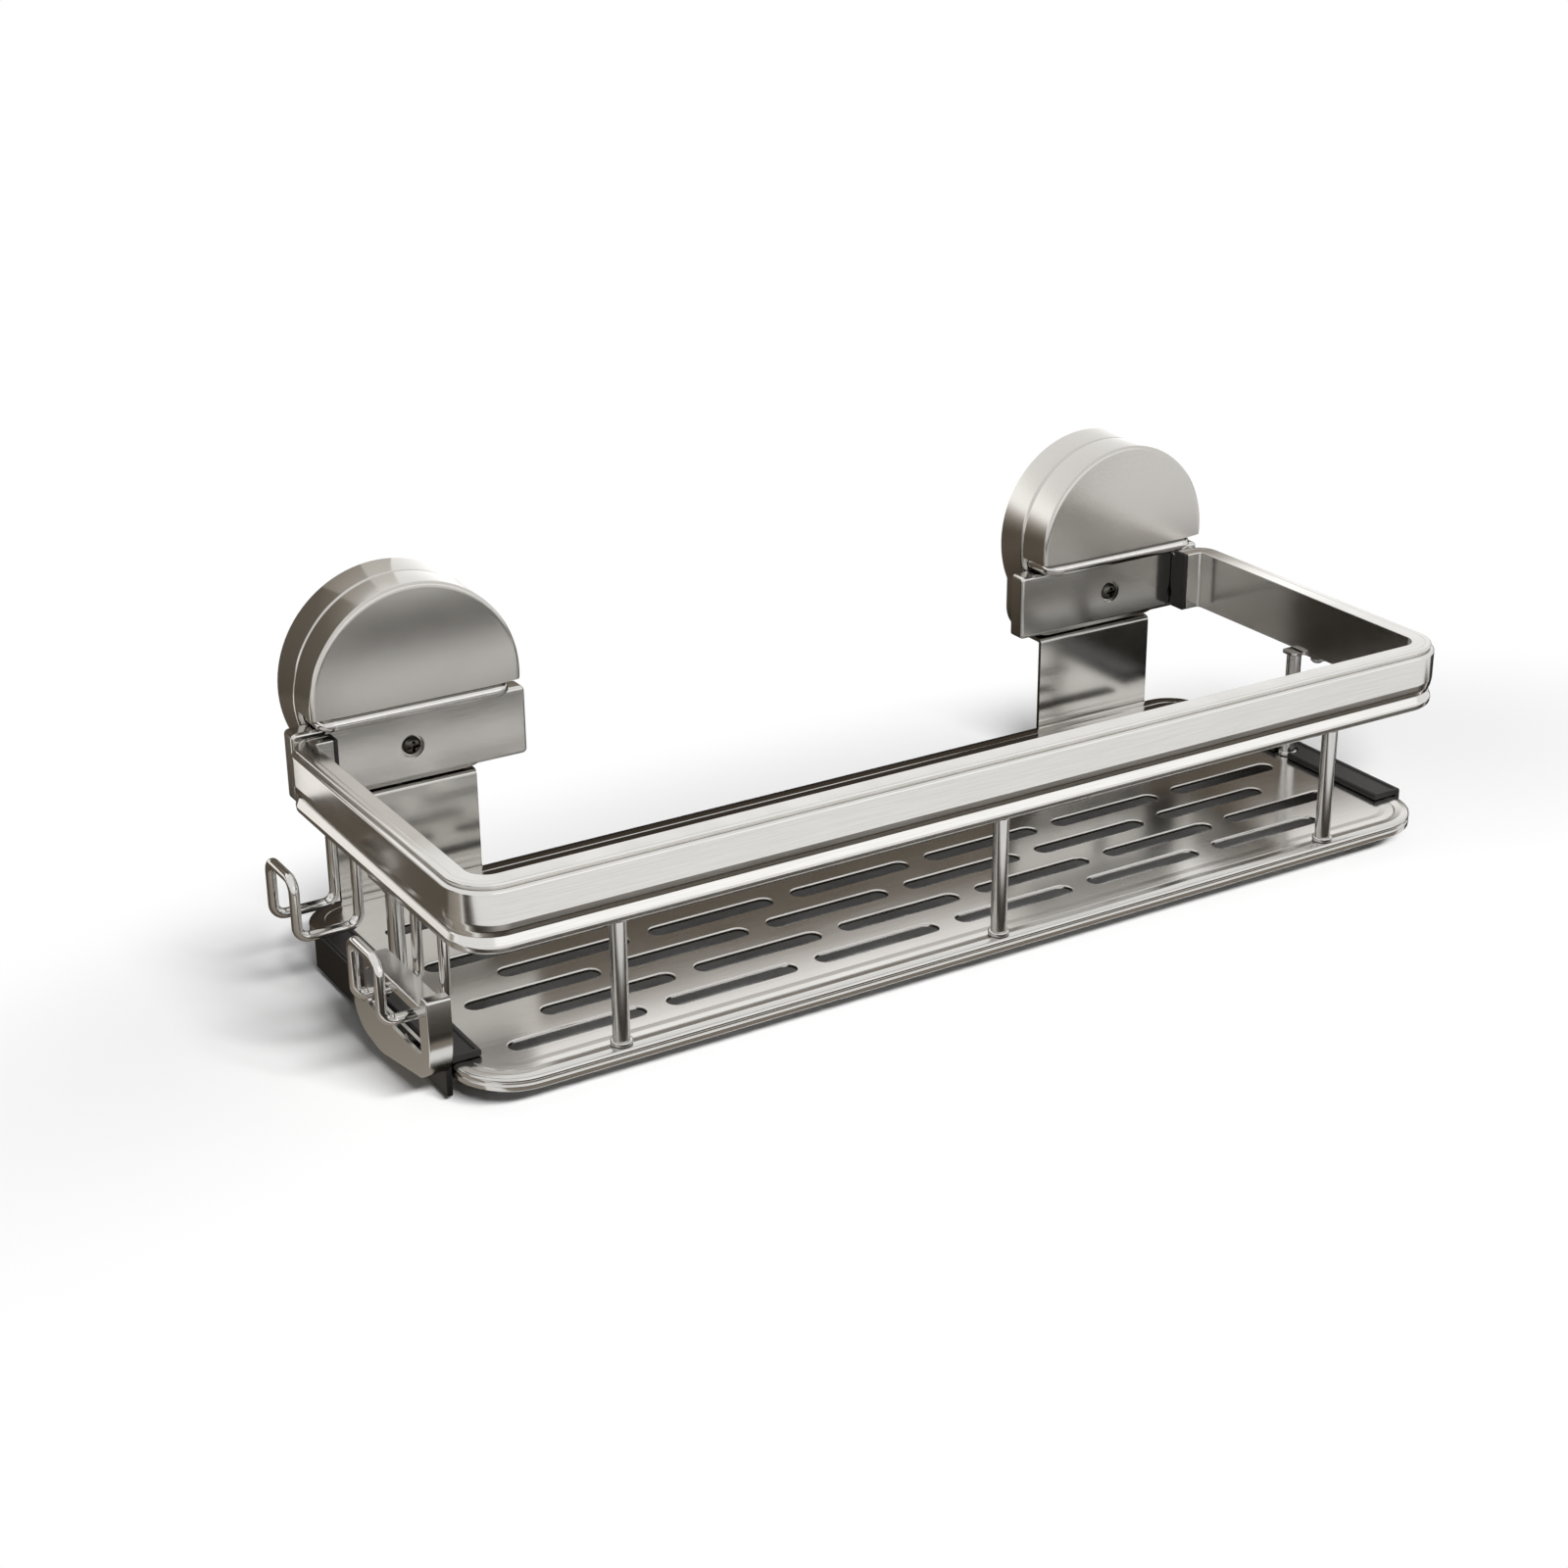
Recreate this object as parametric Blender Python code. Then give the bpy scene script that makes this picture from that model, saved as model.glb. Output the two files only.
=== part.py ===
"""Wall-held shower basket: a slotted tray under a U-shaped guard rail, on two lever suction mounts.

The origin is on the wall, midway between the centres of the two suction pads.
X runs along the wall to the right, Y into the wall and Z up, so the basket lies at negative Y.
"""

import bmesh
import bpy
from math import asin, atan2, cos, pi, radians, sin, sqrt, tan
from mathutils import Matrix, Vector

# General
GAP = 0.0003
OVERRUN = 0.0010
BITE = 0.0004
WELD = 0.000001
SHARP_ANGLE = radians(32)

# Guard rail: a bent channel, open along its underside
RAIL_LENGTH = 0.3800
RAIL_REACH = 0.1558
RAIL_WIDTH = 0.0080
RAIL_HEIGHT = 0.0222
RAIL_TOP = -0.0100
RAIL_WALL = 0.0011
RAIL_SKIN = 0.0015
RAIL_LIP = 0.0012
RAIL_MOUTH = 0.0040
RAIL_FRONT_BEND = 0.0150
RAIL_REAR_BEND = 0.0092
RETURN_OUT = 0.0204
RETURN_LENGTH = 0.0143
FRONT_BEND_STEPS = 8
REAR_BEND_STEPS = 4
CAP_THICKNESS = 0.0012
PLUG_LENGTH = 0.0040

# Outer face of the rail, bottom to top: inset as a share of its width, height of its height
RAIL_FACE_SHARES = (
    (0.190, 0.000), (0.110, 0.014), (0.055, 0.045), (0.035, 0.117), (0.060, 0.207), (0.120, 0.243),
    (0.075, 0.279), (0.030, 0.430), (0.012, 0.610), (0.020, 0.770), (0.050, 0.842), (0.000, 0.878),
    (0.020, 0.905), (0.150, 0.932), (0.190, 0.977), (0.260, 1.000), (0.910, 1.000), (0.980, 0.989),
    (1.000, 0.964), (1.000, 0.036), (0.925, 0.000),
)
RIDGE_HEIGHT_SHARE = 0.878

# Tray: pressed sheet with a turned-down rim and staggered drain slots
TRAY_DROP = 0.0742
TRAY_SHEET = 0.0012
TRAY_RIM = 0.0044
TRAY_EDGE = 0.0006
TRAY_INSET = 0.0023
TRAY_STANDOFF = 0.0123
TRAY_FRONT_CORNER = 0.0200
TRAY_REAR_CORNER = 0.0150
TRAY_CORNER_STEPS = 6
DRAIN_LENGTH = 0.0465
DRAIN_WIDTH = 0.0068
DRAIN_BRIDGE = 0.0080
DRAIN_ROW_BRIDGE = 0.0084
DRAIN_FIRST_ROW = 0.0202
DRAIN_STAGGER = 0.0186
DRAIN_MARGIN = 0.0120
DRAIN_STEPS = 4

# Posts between the tray and the rail
POST_RADIUS = 0.0027
POST_COLLAR_RADIUS = 0.0035
POST_COLLAR_HEIGHT = 0.0014
POST_STUD_RADIUS = 0.0016
POST_BORE_DEPTH = 0.0070
FRONT_POST_INSET = 0.0510
SIDE_POST_INSET = 0.0084
SIDE_POST_SHARE = 0.5443
SIDE_FOOT_THICKNESS = 0.0012
SIDE_FOOT_LENGTH = 0.0165
SIDE_FOOT_MARGIN = 0.0013
SIDE_FOOT_SCREW_PITCH = 0.0080
ROUND_STEPS = 16

# Fasteners
SMALL_SCREW_RADIUS = 0.0015
SMALL_HEAD_RADIUS = 0.0025
SMALL_HEAD_HEIGHT = 0.0016
SMALL_SCREW_STEPS = 8
NUT_LENGTH = 0.0080
NUT_HEIGHT = 0.0024
PLATE_SCREW_RADIUS = 0.0020
PLATE_HEAD_RADIUS = 0.0040
PLATE_HEAD_HEIGHT = 0.0024
PLATE_SCREW_LENGTH = 0.0110
PLATE_SCREW_STEPS = 16
RECESS_LENGTH = 0.0040
RECESS_WIDTH = 0.0010
RECESS_DEPTH = 0.0012
HEAD_CROWN_SHARE = 0.62
HEAD_RIM_SHARE = 0.45

# Dark edge strips over the two short sides of the tray
STRIP_FROM_FRONT = 0.0195
STRIP_FROM_WALL = 0.0348
STRIP_FLANGE = 0.0120
STRIP_RISE = 0.0026
STRIP_SKIRT = 0.0020
STRIP_HEIGHT = 0.0130

# Suction mounts
MOUNT_INSET = 0.0451
BASE_RADIUS = 0.0379
BASE_FRONT_RADIUS = 0.0369
BASE_HALF_WIDTH = 0.0347
BASE_DROP = 0.0382
BASE_CORNER = 0.0120
BASE_REAR_OUT = 0.0008
BASE_FRONT_OUT = 0.0133
BASE_EDGE = 0.0006
BASE_SIDE_WALL = 0.0011
BASE_FRONT_WALL = 0.0020
BASE_STEPS = 26
PRESS_RING_RADIUS = 0.0270
PRESS_RING_WALL = 0.0020
BOSS_RADIUS = 0.0050
PAD_RADIUS = 0.0360
PAD_THICKNESS = 0.0028
PAD_RELIEF = 0.0012
PAD_SEAL_WIDTH = 0.0080
PAD_STEPS = 36
CORE_RADIUS = 0.0080
CORE_LIFT = 0.0032
CORE_FLANGE_RADIUS = 0.0100
YOKE_HEIGHT = 0.0080
YOKE_THICKNESS = 0.0020
YOKE_OUT = 0.0108
PULL_STROKE = 0.0030
BAR_RADIUS = 0.0024
BAR_OUT = 0.0256
BAR_DROP = 0.0059
BAIL_BEND = 0.0040
LEVER_RADIUS = 0.0372
LEVER_FRONT_OUT = 0.0281
LEVER_REAR_OUT = 0.0138
LEVER_CHORD_DROP = 0.00315
LEVER_CHAMFER = 0.0009
LEVER_WALL = 0.0016
LEVER_STEPS = 24
EAR_WIDTH = 0.0100
EAR_SPACING = 0.0400
EAR_THICKNESS = 0.0018
EAR_START = radians(80)
EAR_END = radians(-100)
EAR_STEPS = 9

# Front plate and hanger of each mount
PLATE_WIDTH = 0.0834
PLATE_TOP = -0.0088
PLATE_HEIGHT = 0.0243
PLATE_THICKNESS = 0.0015
PLATE_SCREW_DROP = 0.0216
RAIL_SCREW_INSET = 0.0106
HANGER_WIDTH = 0.0520
HANGER_THICKNESS = 0.0015
HANGER_FLANGE = 0.0100
HANGER_SCREW_PITCH = 0.0320
HANGER_CORNER = 0.0040

# Utility hooks that slide in the left side of the rail
WIRE_RADIUS = 0.0017
HOOK_SPREAD = 0.0196
HOOK_BEND = 0.0040
HOOK_DEPTH = 0.0446
HOOK_RISE = 0.0196
HOOK_OUT = 0.0207
REAR_HOOK_SHARE = 0.3562
FRONT_HOOK_SHARE = 0.7747
WIRE_STEPS = 2
SLIDER_LENGTH = 0.0288
SLIDER_HEIGHT = 0.0040

# Side pocket on the left, outside the strip
POCKET_LENGTH = 0.0574
POCKET_HEIGHT = 0.0333
POCKET_LEAD = 0.0234
POCKET_TOP_DROP = 0.0476
POCKET_WIDTH = 0.0077
POCKET_FACE = 0.0012
POCKET_RIM = 0.0013
POCKET_BACK_HEIGHT = 0.0085
WINDOW_TOP = 0.0065
WINDOW_HEIGHT = 0.0135
WINDOW_REAR = 0.0120
WINDOW_FRONT = 0.0062
WINDOW_CORNER = 0.0020
POCKET_SCREW_PITCH = 0.0080
POCKET_SCREW_RADIUS = 0.0010
POCKET_HEAD_RADIUS = 0.0018
POCKET_HEAD_HEIGHT = 0.0012
POCKET_SCREW_SHARE = 0.68

# Outline of the pocket from its front top corner down, under and back up:
# distance from its front as a share of its length, drop as a share of its height
POCKET_SHARES = (
    (0.004, 0.000), (0.000, 0.450), (0.016, 0.615), (0.049, 0.735), (0.100, 0.820), (0.180, 0.862),
    (0.340, 0.913), (0.510, 0.967), (0.676, 1.000), (0.790, 0.988), (0.868, 0.940), (0.943, 0.847),
    (1.000, 0.705), (1.000, 0.600), (0.833, 0.600), (0.833, 0.105), (0.095, 0.105), (0.078, 0.000),
)

# Finishes: base colour, metallic, roughness
SATIN_STEEL = ((0.55, 0.53, 0.50), 1.0, 0.30)
POLISHED_STEEL = ((0.66, 0.65, 0.63), 1.0, 0.16)
COVER_METAL = ((0.50, 0.48, 0.46), 1.0, 0.34)
DARK_PLASTIC = ((0.018, 0.017, 0.016), 0.0, 0.45)
SOFT_RUBBER = ((0.030, 0.030, 0.032), 0.0, 0.60)
SCREW_STEEL = ((0.60, 0.59, 0.57), 1.0, 0.25)

HALF_LENGTH = RAIL_LENGTH / 2
RAIL_BOTTOM = RAIL_TOP - RAIL_HEIGHT
RIDGE = RAIL_BOTTOM + RAIL_HEIGHT * RIDGE_HEIGHT_SHARE
CHANNEL_INNER = RAIL_WIDTH - RAIL_WALL
CHANNEL_INSET = (RAIL_SKIN + CHANNEL_INNER) / 2
CHANNEL_WIDTH = CHANNEL_INNER - RAIL_SKIN
SLIDER_WIDTH = CHANNEL_WIDTH - 2 * GAP
LIP_TOP = RAIL_BOTTOM + RAIL_LIP
TRAY_TOP = -TRAY_DROP
TRAY_UNDER = TRAY_TOP - TRAY_SHEET
TRAY_FOOT = TRAY_TOP - TRAY_RIM
PLATE_OUT = RETURN_OUT - GAP
PLATE_REAR = PLATE_OUT - PLATE_THICKNESS
HANGER_OUT = TRAY_STANDOFF - GAP
HANGER_REAR = HANGER_OUT - HANGER_THICKNESS
CLEAR_SMALL = SMALL_SCREW_RADIUS + GAP
MOUNT_X = HALF_LENGTH - MOUNT_INSET
ARM_X = BASE_HALF_WIDTH - GAP - BAR_RADIUS
SIDE_POST_X = HALF_LENGTH - SIDE_POST_INSET
SIDE_POST_Y = -RAIL_REACH * SIDE_POST_SHARE
POCKET_FRONT = -RAIL_REACH * FRONT_HOOK_SHARE - POCKET_LEAD
DRAIN_PITCH = DRAIN_LENGTH + DRAIN_BRIDGE
DRAIN_ROW_PITCH = DRAIN_WIDTH + DRAIN_ROW_BRIDGE
DRAIN_ROWS = 1 + int((RAIL_REACH - TRAY_STANDOFF - DRAIN_FIRST_ROW - DRAIN_MARGIN) / DRAIN_ROW_PITCH)
DRAIN_COLUMNS = int(
    (RAIL_LENGTH - 2 * TRAY_INSET - 2 * DRAIN_MARGIN - DRAIN_STAGGER + DRAIN_BRIDGE) / DRAIN_PITCH
)

# Drawing planes: the third coordinate of an outline becomes the distance from the wall, or X
FROM_WALL = Matrix.Rotation(pi / 2, 4, "X")
ALONG_X = Matrix(((0, 0, 1, 0), (1, 0, 0, 0), (0, 1, 0, 0), (0, 0, 0, 1)))
UPSIDE_DOWN = Matrix.Rotation(pi, 4, "X")
MIRROR_X = Matrix.Scale(-1, 4, (1, 0, 0))
HANDS = {"left": Matrix.Identity(4), "right": MIRROR_X}
SIDES = {"left": -1, "right": 1}


def finish(name, recipe):
    """Make the material of one sub-part from a finish."""
    colour, metallic, roughness = recipe
    material = bpy.data.materials.new(name)
    material.use_nodes = True
    shader = material.node_tree.nodes["Principled BSDF"]
    shader.inputs["Base Color"].default_value = (*colour, 1)
    shader.inputs["Metallic"].default_value = metallic
    shader.inputs["Roughness"].default_value = roughness
    return material


def as_object(name, shape, recipe, place=Matrix.Identity(4)):
    """Turn a bmesh into a named, smoothly shaded object."""
    bmesh.ops.transform(shape, matrix=place, verts=shape.verts)
    bmesh.ops.recalc_face_normals(shape, faces=shape.faces)
    mesh = bpy.data.meshes.new(name)
    shape.to_mesh(mesh)
    shape.free()
    mesh.shade_smooth()
    mesh.set_sharp_from_angle(angle=SHARP_ANGLE)
    mesh.materials.append(finish(name, recipe))
    result = bpy.data.objects.new(name, mesh)
    bpy.context.scene.collection.objects.link(result)
    return result


def as_tool(name, shape, place=Matrix.Identity(4)):
    """Turn a bmesh into a tool body that cuts or joins and isn't part of the model."""
    tool = as_object(name, shape, SATIN_STEEL, place)
    tool.hide_render = True
    tool.display_type = "WIRE"
    return tool


def combine(target, tool, operation):
    """Cut a tool body out of an object, or join it on."""
    change = target.modifiers.new(tool.name, "BOOLEAN")
    change.operation = operation
    change.solver = "EXACT"
    change.object = tool


def pivot(name, place, parent=None):
    """Add the empty that marks a joint's axis."""
    empty = bpy.data.objects.new(name, None)
    bpy.context.scene.collection.objects.link(empty)
    empty.location = place
    if parent is not None:
        empty.parent = parent
        empty.location = place - parent.matrix_world.translation
    bpy.context.view_layer.update()
    return empty


def hang(piece, empty):
    """Give a piece its origin on a joint's axis and make it follow that joint's empty."""
    piece.data.transform(Matrix.Translation(-empty.matrix_world.translation))
    piece.parent = empty


def loft(rings, closed=False):
    """Skin rings of equally many points, with flat ends unless the skin closes on itself."""
    shape = bmesh.new()
    rows = [[shape.verts.new(point) for point in ring] for ring in rings]
    pairs = list(zip(rows, rows[1:]))
    if closed:
        pairs.append((rows[-1], rows[0]))
    else:
        shape.faces.new(rows[0])
        shape.faces.new(rows[-1])
    for row, after in pairs:
        for k in range(len(row)):
            n = (k + 1) % len(row)
            shape.faces.new((row[k], row[n], after[n], after[k]))
    return shape


def prism(outline, low, high):
    """Extrude a flat outline between two heights."""
    return loft([[(u, v, w) for u, v in outline] for w in (low, high)])


def add_prism(shape, outline, low, high):
    """Add another prism to a shape as a body of its own."""
    extra = bpy.data.meshes.new("extra")
    body = prism(outline, low, high)
    body.to_mesh(extra)
    body.free()
    shape.from_mesh(extra)
    bpy.data.meshes.remove(extra)
    return shape


def turned(profile, steps):
    """Turn a profile of (radius, height) points about the Z axis."""
    shape = bmesh.new()
    corners = [shape.verts.new((radius, 0, height)) for radius, height in profile]
    edges = [shape.edges.new(pair) for pair in zip(corners, corners[1:])]
    bmesh.ops.spin(
        shape, geom=corners + edges, cent=(0, 0, 0), axis=(0, 0, 1), angle=2 * pi, steps=steps,
    )
    bmesh.ops.remove_doubles(shape, verts=shape.verts, dist=WELD)
    return shape


def arc(centre, radius, start, end, steps):
    """Points along an arc in a plane."""
    angles = [start + (end - start) * k / steps for k in range(steps + 1)]
    return [(centre[0] + radius * cos(a), centre[1] + radius * sin(a)) for a in angles]


def rectangle(left, right, bottom, top):
    """Corners of an upright rectangle."""
    return [(left, bottom), (right, bottom), (right, top), (left, top)]


def rounded(corners, steps):
    """Outline through (x, y, radius) corners, each rounded by its own radius."""
    outline = []
    for k, (x, y, radius) in enumerate(corners):
        here = Vector((x, y))
        if not radius:
            outline.append((x, y))
            continue
        back = (Vector(corners[k - 1][:2]) - here).normalized()
        ahead = (Vector(corners[(k + 1) % len(corners)][:2]) - here).normalized()
        half = back.angle(ahead) / 2
        centre = here + (back + ahead).normalized() * radius / sin(half)
        first = here + back * radius / tan(half) - centre
        last = here + ahead * radius / tan(half) - centre
        start = atan2(first.y, first.x)
        turn = (atan2(last.y, last.x) - start + pi) % (2 * pi) - pi
        outline += arc(centre, radius, start, start + turn, steps)
    return outline


def capsule(x, y, length, width, steps):
    """Outline of a slot with round ends, lying along X."""
    radius = width / 2
    reach = length / 2 - radius
    right = arc((x + reach, y), radius, -pi / 2, pi / 2, steps)
    left = arc((x - reach, y), radius, pi / 2, 3 * pi / 2, steps)
    return right + left


def circle(x, y, radius, steps):
    """Outline of a full circle."""
    return arc((x, y), radius, 0, 2 * pi, steps)[:-1]


def bent(points, radius, steps):
    """Route of a wire through corner points, with every bend of one radius."""
    route = [Vector(points[0])]
    for before, corner, after in zip(points, points[1:], points[2:]):
        back = (Vector(before) - Vector(corner)).normalized()
        ahead = (Vector(after) - Vector(corner)).normalized()
        half = back.angle(ahead) / 2
        centre = Vector(corner) + (back + ahead).normalized() * radius / sin(half)
        first = (Vector(corner) + back * radius / tan(half) - centre).normalized()
        last = (Vector(corner) + ahead * radius / tan(half) - centre).normalized()
        route += [centre + first.slerp(last, k / steps) * radius for k in range(steps + 1)]
    route.append(Vector(points[-1]))
    return route


def wire(name, route, radius, recipe, fineness):
    """Round wire along a route, with flat ends."""
    curve = bpy.data.curves.new(name, "CURVE")
    curve.dimensions = "3D"
    curve.bevel_depth = radius
    curve.bevel_resolution = fineness
    curve.use_fill_caps = True
    spline = curve.splines.new("POLY")
    spline.points.add(len(route) - 1)
    for point, place in zip(spline.points, route):
        point.co = (*place, 1)
    curve.materials.append(finish(name, recipe))
    result = bpy.data.objects.new(name, curve)
    bpy.context.scene.collection.objects.link(result)
    return result


def screw(name, head_radius, head_height, radius, length, place, steps):
    """Pan-head screw whose head stands on z = 0 with its shank below."""
    profile = [
        (0, head_height), (head_radius * HEAD_CROWN_SHARE, head_height),
        (head_radius, head_height * HEAD_RIM_SHARE), (head_radius, 0),
        (radius, 0), (radius, -length), (0, -length),
    ]
    return as_object(name, turned(profile, steps), SCREW_STEEL, place)


def small_screw(name, length, place):
    """Small pan-head screw of the size used all round the basket."""
    return screw(
        name, SMALL_HEAD_RADIUS, SMALL_HEAD_HEIGHT, SMALL_SCREW_RADIUS, length, place, SMALL_SCREW_STEPS,
    )


def rail_section():
    """Section of the rail as (inset, height) points: outer face, top, inner face, then the channel."""
    face = [(RAIL_WIDTH * inset, RAIL_BOTTOM + RAIL_HEIGHT * rise) for inset, rise in RAIL_FACE_SHARES]
    near = CHANNEL_INSET - RAIL_MOUTH / 2
    far = CHANNEL_INSET + RAIL_MOUTH / 2
    shoulder = RAIL_SKIN + RAIL_WALL
    channel = [
        (far, RAIL_BOTTOM), (far, LIP_TOP), (CHANNEL_INNER, LIP_TOP),
        (CHANNEL_INNER, RAIL_TOP - RAIL_WALL), (shoulder, RAIL_TOP - RAIL_WALL),
        (shoulder, RIDGE), (RAIL_SKIN, RIDGE - RAIL_WALL), (RAIL_SKIN, LIP_TOP),
        (near, LIP_TOP), (near, RAIL_BOTTOM),
    ]
    return face + channel


def rail_stations():
    """Points on the rail's outer face in plan, each with the direction of its inner side."""
    rear = -RETURN_OUT - RAIL_REAR_BEND
    front = -RAIL_REACH + RAIL_FRONT_BEND
    bends = (
        (-HALF_LENGTH + RAIL_REAR_BEND, rear, RAIL_REAR_BEND, pi / 2, REAR_BEND_STEPS),
        (-HALF_LENGTH + RAIL_FRONT_BEND, front, RAIL_FRONT_BEND, pi, FRONT_BEND_STEPS),
        (HALF_LENGTH - RAIL_FRONT_BEND, front, RAIL_FRONT_BEND, 3 * pi / 2, FRONT_BEND_STEPS),
        (HALF_LENGTH - RAIL_REAR_BEND, rear, RAIL_REAR_BEND, 0, REAR_BEND_STEPS),
    )
    end = HALF_LENGTH - RETURN_LENGTH
    stations = [((-end, -RETURN_OUT), (0, -1))]
    for x, y, radius, start, steps in bends:
        for k in range(steps + 1):
            angle = start + pi / 2 * k / steps
            outward = (cos(angle), sin(angle))
            place = (x + radius * outward[0], y + radius * outward[1])
            stations.append((place, (-outward[0], -outward[1])))
    stations.append(((end, -RETURN_OUT), (0, -1)))
    return stations


def make_rail():
    """Guard rail with its four bends and the screw holes in its two short returns."""
    section = rail_section()
    rings = [
        [(x + inward[0] * inset, y + inward[1] * inset, height) for inset, height in section]
        for (x, y), inward in rail_stations()
    ]
    rail = as_object("guard_rail", loft(rings), SATIN_STEEL)
    holes = bmesh.new()
    for side in SIDES.values():
        x = side * (HALF_LENGTH - RAIL_SCREW_INSET)
        outline = circle(x, rail_screw_height(), CLEAR_SMALL, SMALL_SCREW_STEPS)
        add_prism(holes, outline, RETURN_OUT - OVERRUN, RETURN_OUT + RAIL_SKIN + OVERRUN)
    combine(rail, as_tool("rail_holes", holes, FROM_WALL), "DIFFERENCE")


def rail_screw_height():
    """Height of the screws that hold the rail's returns to the front plates."""
    return (PLATE_TOP + RAIL_TOP - RAIL_HEIGHT) / 2


def make_end_cap(hand):
    """Plastic cap in the cut end of one return, with its plug in the channel."""
    face = [(RAIL_WIDTH * inset, RAIL_BOTTOM + RAIL_HEIGHT * rise) for inset, rise in RAIL_FACE_SHARES]
    outline = [(-RETURN_OUT - inset, height) for inset, height in face]
    end = -HALF_LENGTH + RETURN_LENGTH + GAP
    place = HANDS[hand] @ ALONG_X
    cap = as_object(hand + "_end_cap", prism(outline, end, end + CAP_THICKNESS), DARK_PLASTIC, place)
    plug = rectangle(
        -RETURN_OUT - CHANNEL_INNER + GAP, -RETURN_OUT - RAIL_SKIN - RAIL_WALL - GAP,
        LIP_TOP + GAP, RAIL_TOP - RAIL_WALL - GAP,
    )
    body = prism(plug, end - PLUG_LENGTH, end + BITE)
    combine(cap, as_tool(hand + "_end_plug", body, place), "UNION")


def tray_outline(inset):
    """Outline of the tray in plan, drawn in from its edge."""
    side = HALF_LENGTH - TRAY_INSET - inset
    front = -RAIL_REACH + inset
    rear = -TRAY_STANDOFF - inset
    near = TRAY_FRONT_CORNER - inset
    far = TRAY_REAR_CORNER - inset
    corners = [(-side, front, near), (side, front, near), (side, rear, far), (-side, rear, far)]
    return rounded(corners, TRAY_CORNER_STEPS)


def make_tray():
    """Tray with its rim, drain slots and screw holes."""
    levels = (
        (TRAY_EDGE, TRAY_FOOT), (0, TRAY_FOOT + TRAY_EDGE),
        (0, TRAY_TOP - TRAY_EDGE), (TRAY_EDGE, TRAY_TOP),
    )
    rings = [[(x, y, height) for x, y in tray_outline(inset)] for inset, height in levels]
    tray = as_object("tray", loft(rings), SATIN_STEEL)
    hollow = prism(tray_outline(TRAY_SHEET), TRAY_FOOT - OVERRUN, TRAY_UNDER)
    combine(tray, as_tool("tray_hollow", hollow), "DIFFERENCE")
    slots = bmesh.new()
    for row in range(DRAIN_ROWS):
        y = -RAIL_REACH + DRAIN_FIRST_ROW + row * DRAIN_ROW_PITCH
        shift = DRAIN_STAGGER / 2 if row % 2 else -DRAIN_STAGGER / 2
        for column in range(DRAIN_COLUMNS):
            x = shift + (column - (DRAIN_COLUMNS - 1) / 2) * DRAIN_PITCH
            outline = capsule(x, y, DRAIN_LENGTH, DRAIN_WIDTH, DRAIN_STEPS)
            add_prism(slots, outline, TRAY_UNDER - OVERRUN, TRAY_TOP + OVERRUN)
    for x, y in front_post_places() + side_post_places():
        outline = circle(x, y, CLEAR_SMALL, SMALL_SCREW_STEPS)
        add_prism(slots, outline, TRAY_UNDER - OVERRUN, TRAY_TOP + OVERRUN)
    combine(tray, as_tool("tray_slots", slots), "DIFFERENCE")
    rims = bmesh.new()
    for side in SIDES.values():
        for x in hanger_screw_places(side):
            outline = circle(x, hanger_screw_height(), CLEAR_SMALL, SMALL_SCREW_STEPS)
            low = TRAY_STANDOFF - OVERRUN
            add_prism(rims, outline, low, TRAY_STANDOFF + TRAY_SHEET + OVERRUN)
    combine(tray, as_tool("tray_rear_holes", rims, FROM_WALL), "DIFFERENCE")
    flanks = bmesh.new()
    for y in pocket_screw_places():
        outline = circle(y, pocket_screw_height(), POCKET_SCREW_RADIUS + GAP, SMALL_SCREW_STEPS)
        low = -HALF_LENGTH + TRAY_INSET - OVERRUN
        add_prism(flanks, outline, low, low + TRAY_SHEET + 2 * OVERRUN)
    combine(tray, as_tool("tray_side_holes", flanks, ALONG_X), "DIFFERENCE")


def front_post_places():
    """Plan positions of the three front posts, on the channel of the rail."""
    y = -RAIL_REACH + CHANNEL_INSET
    return [(k * (HALF_LENGTH - FRONT_POST_INSET), y) for k in (-1, 0, 1)]


def side_post_places():
    """Plan positions of the left and right side posts."""
    return [(side * SIDE_POST_X, SIDE_POST_Y) for side in (-1, 1)]


def post_profile(height):
    """Turned profile of a post, from its screw bore round to its top."""
    return [
        (0, POST_BORE_DEPTH), (CLEAR_SMALL, POST_BORE_DEPTH), (CLEAR_SMALL, 0),
        (POST_COLLAR_RADIUS, 0), (POST_COLLAR_RADIUS, POST_COLLAR_HEIGHT),
        (POST_RADIUS, POST_COLLAR_HEIGHT), (POST_RADIUS, height),
    ]


def channel_nut(name, x, y, turn, bore):
    """Square nut in the rail's channel, with its length along the channel."""
    half = SLIDER_WIDTH / 2
    long = NUT_LENGTH / 2
    block = [
        (long, 0), (long, half), (0, half), (-long, half),
        (-long, 0), (-long, -half), (0, -half), (long, -half),
    ]
    hole = circle(0, 0, bore, len(block))
    bottom = LIP_TOP + GAP
    top = bottom + NUT_HEIGHT
    rings = [[(u, v, w) for u, v in outline]
             for outline, w in ((hole, bottom), (hole, top), (block, top), (block, bottom))]
    place = Matrix.Translation((x, y, 0)) @ Matrix.Rotation(turn, 4, "Z")
    as_object(name, loft(rings, closed=True), SCREW_STEEL, place)


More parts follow.
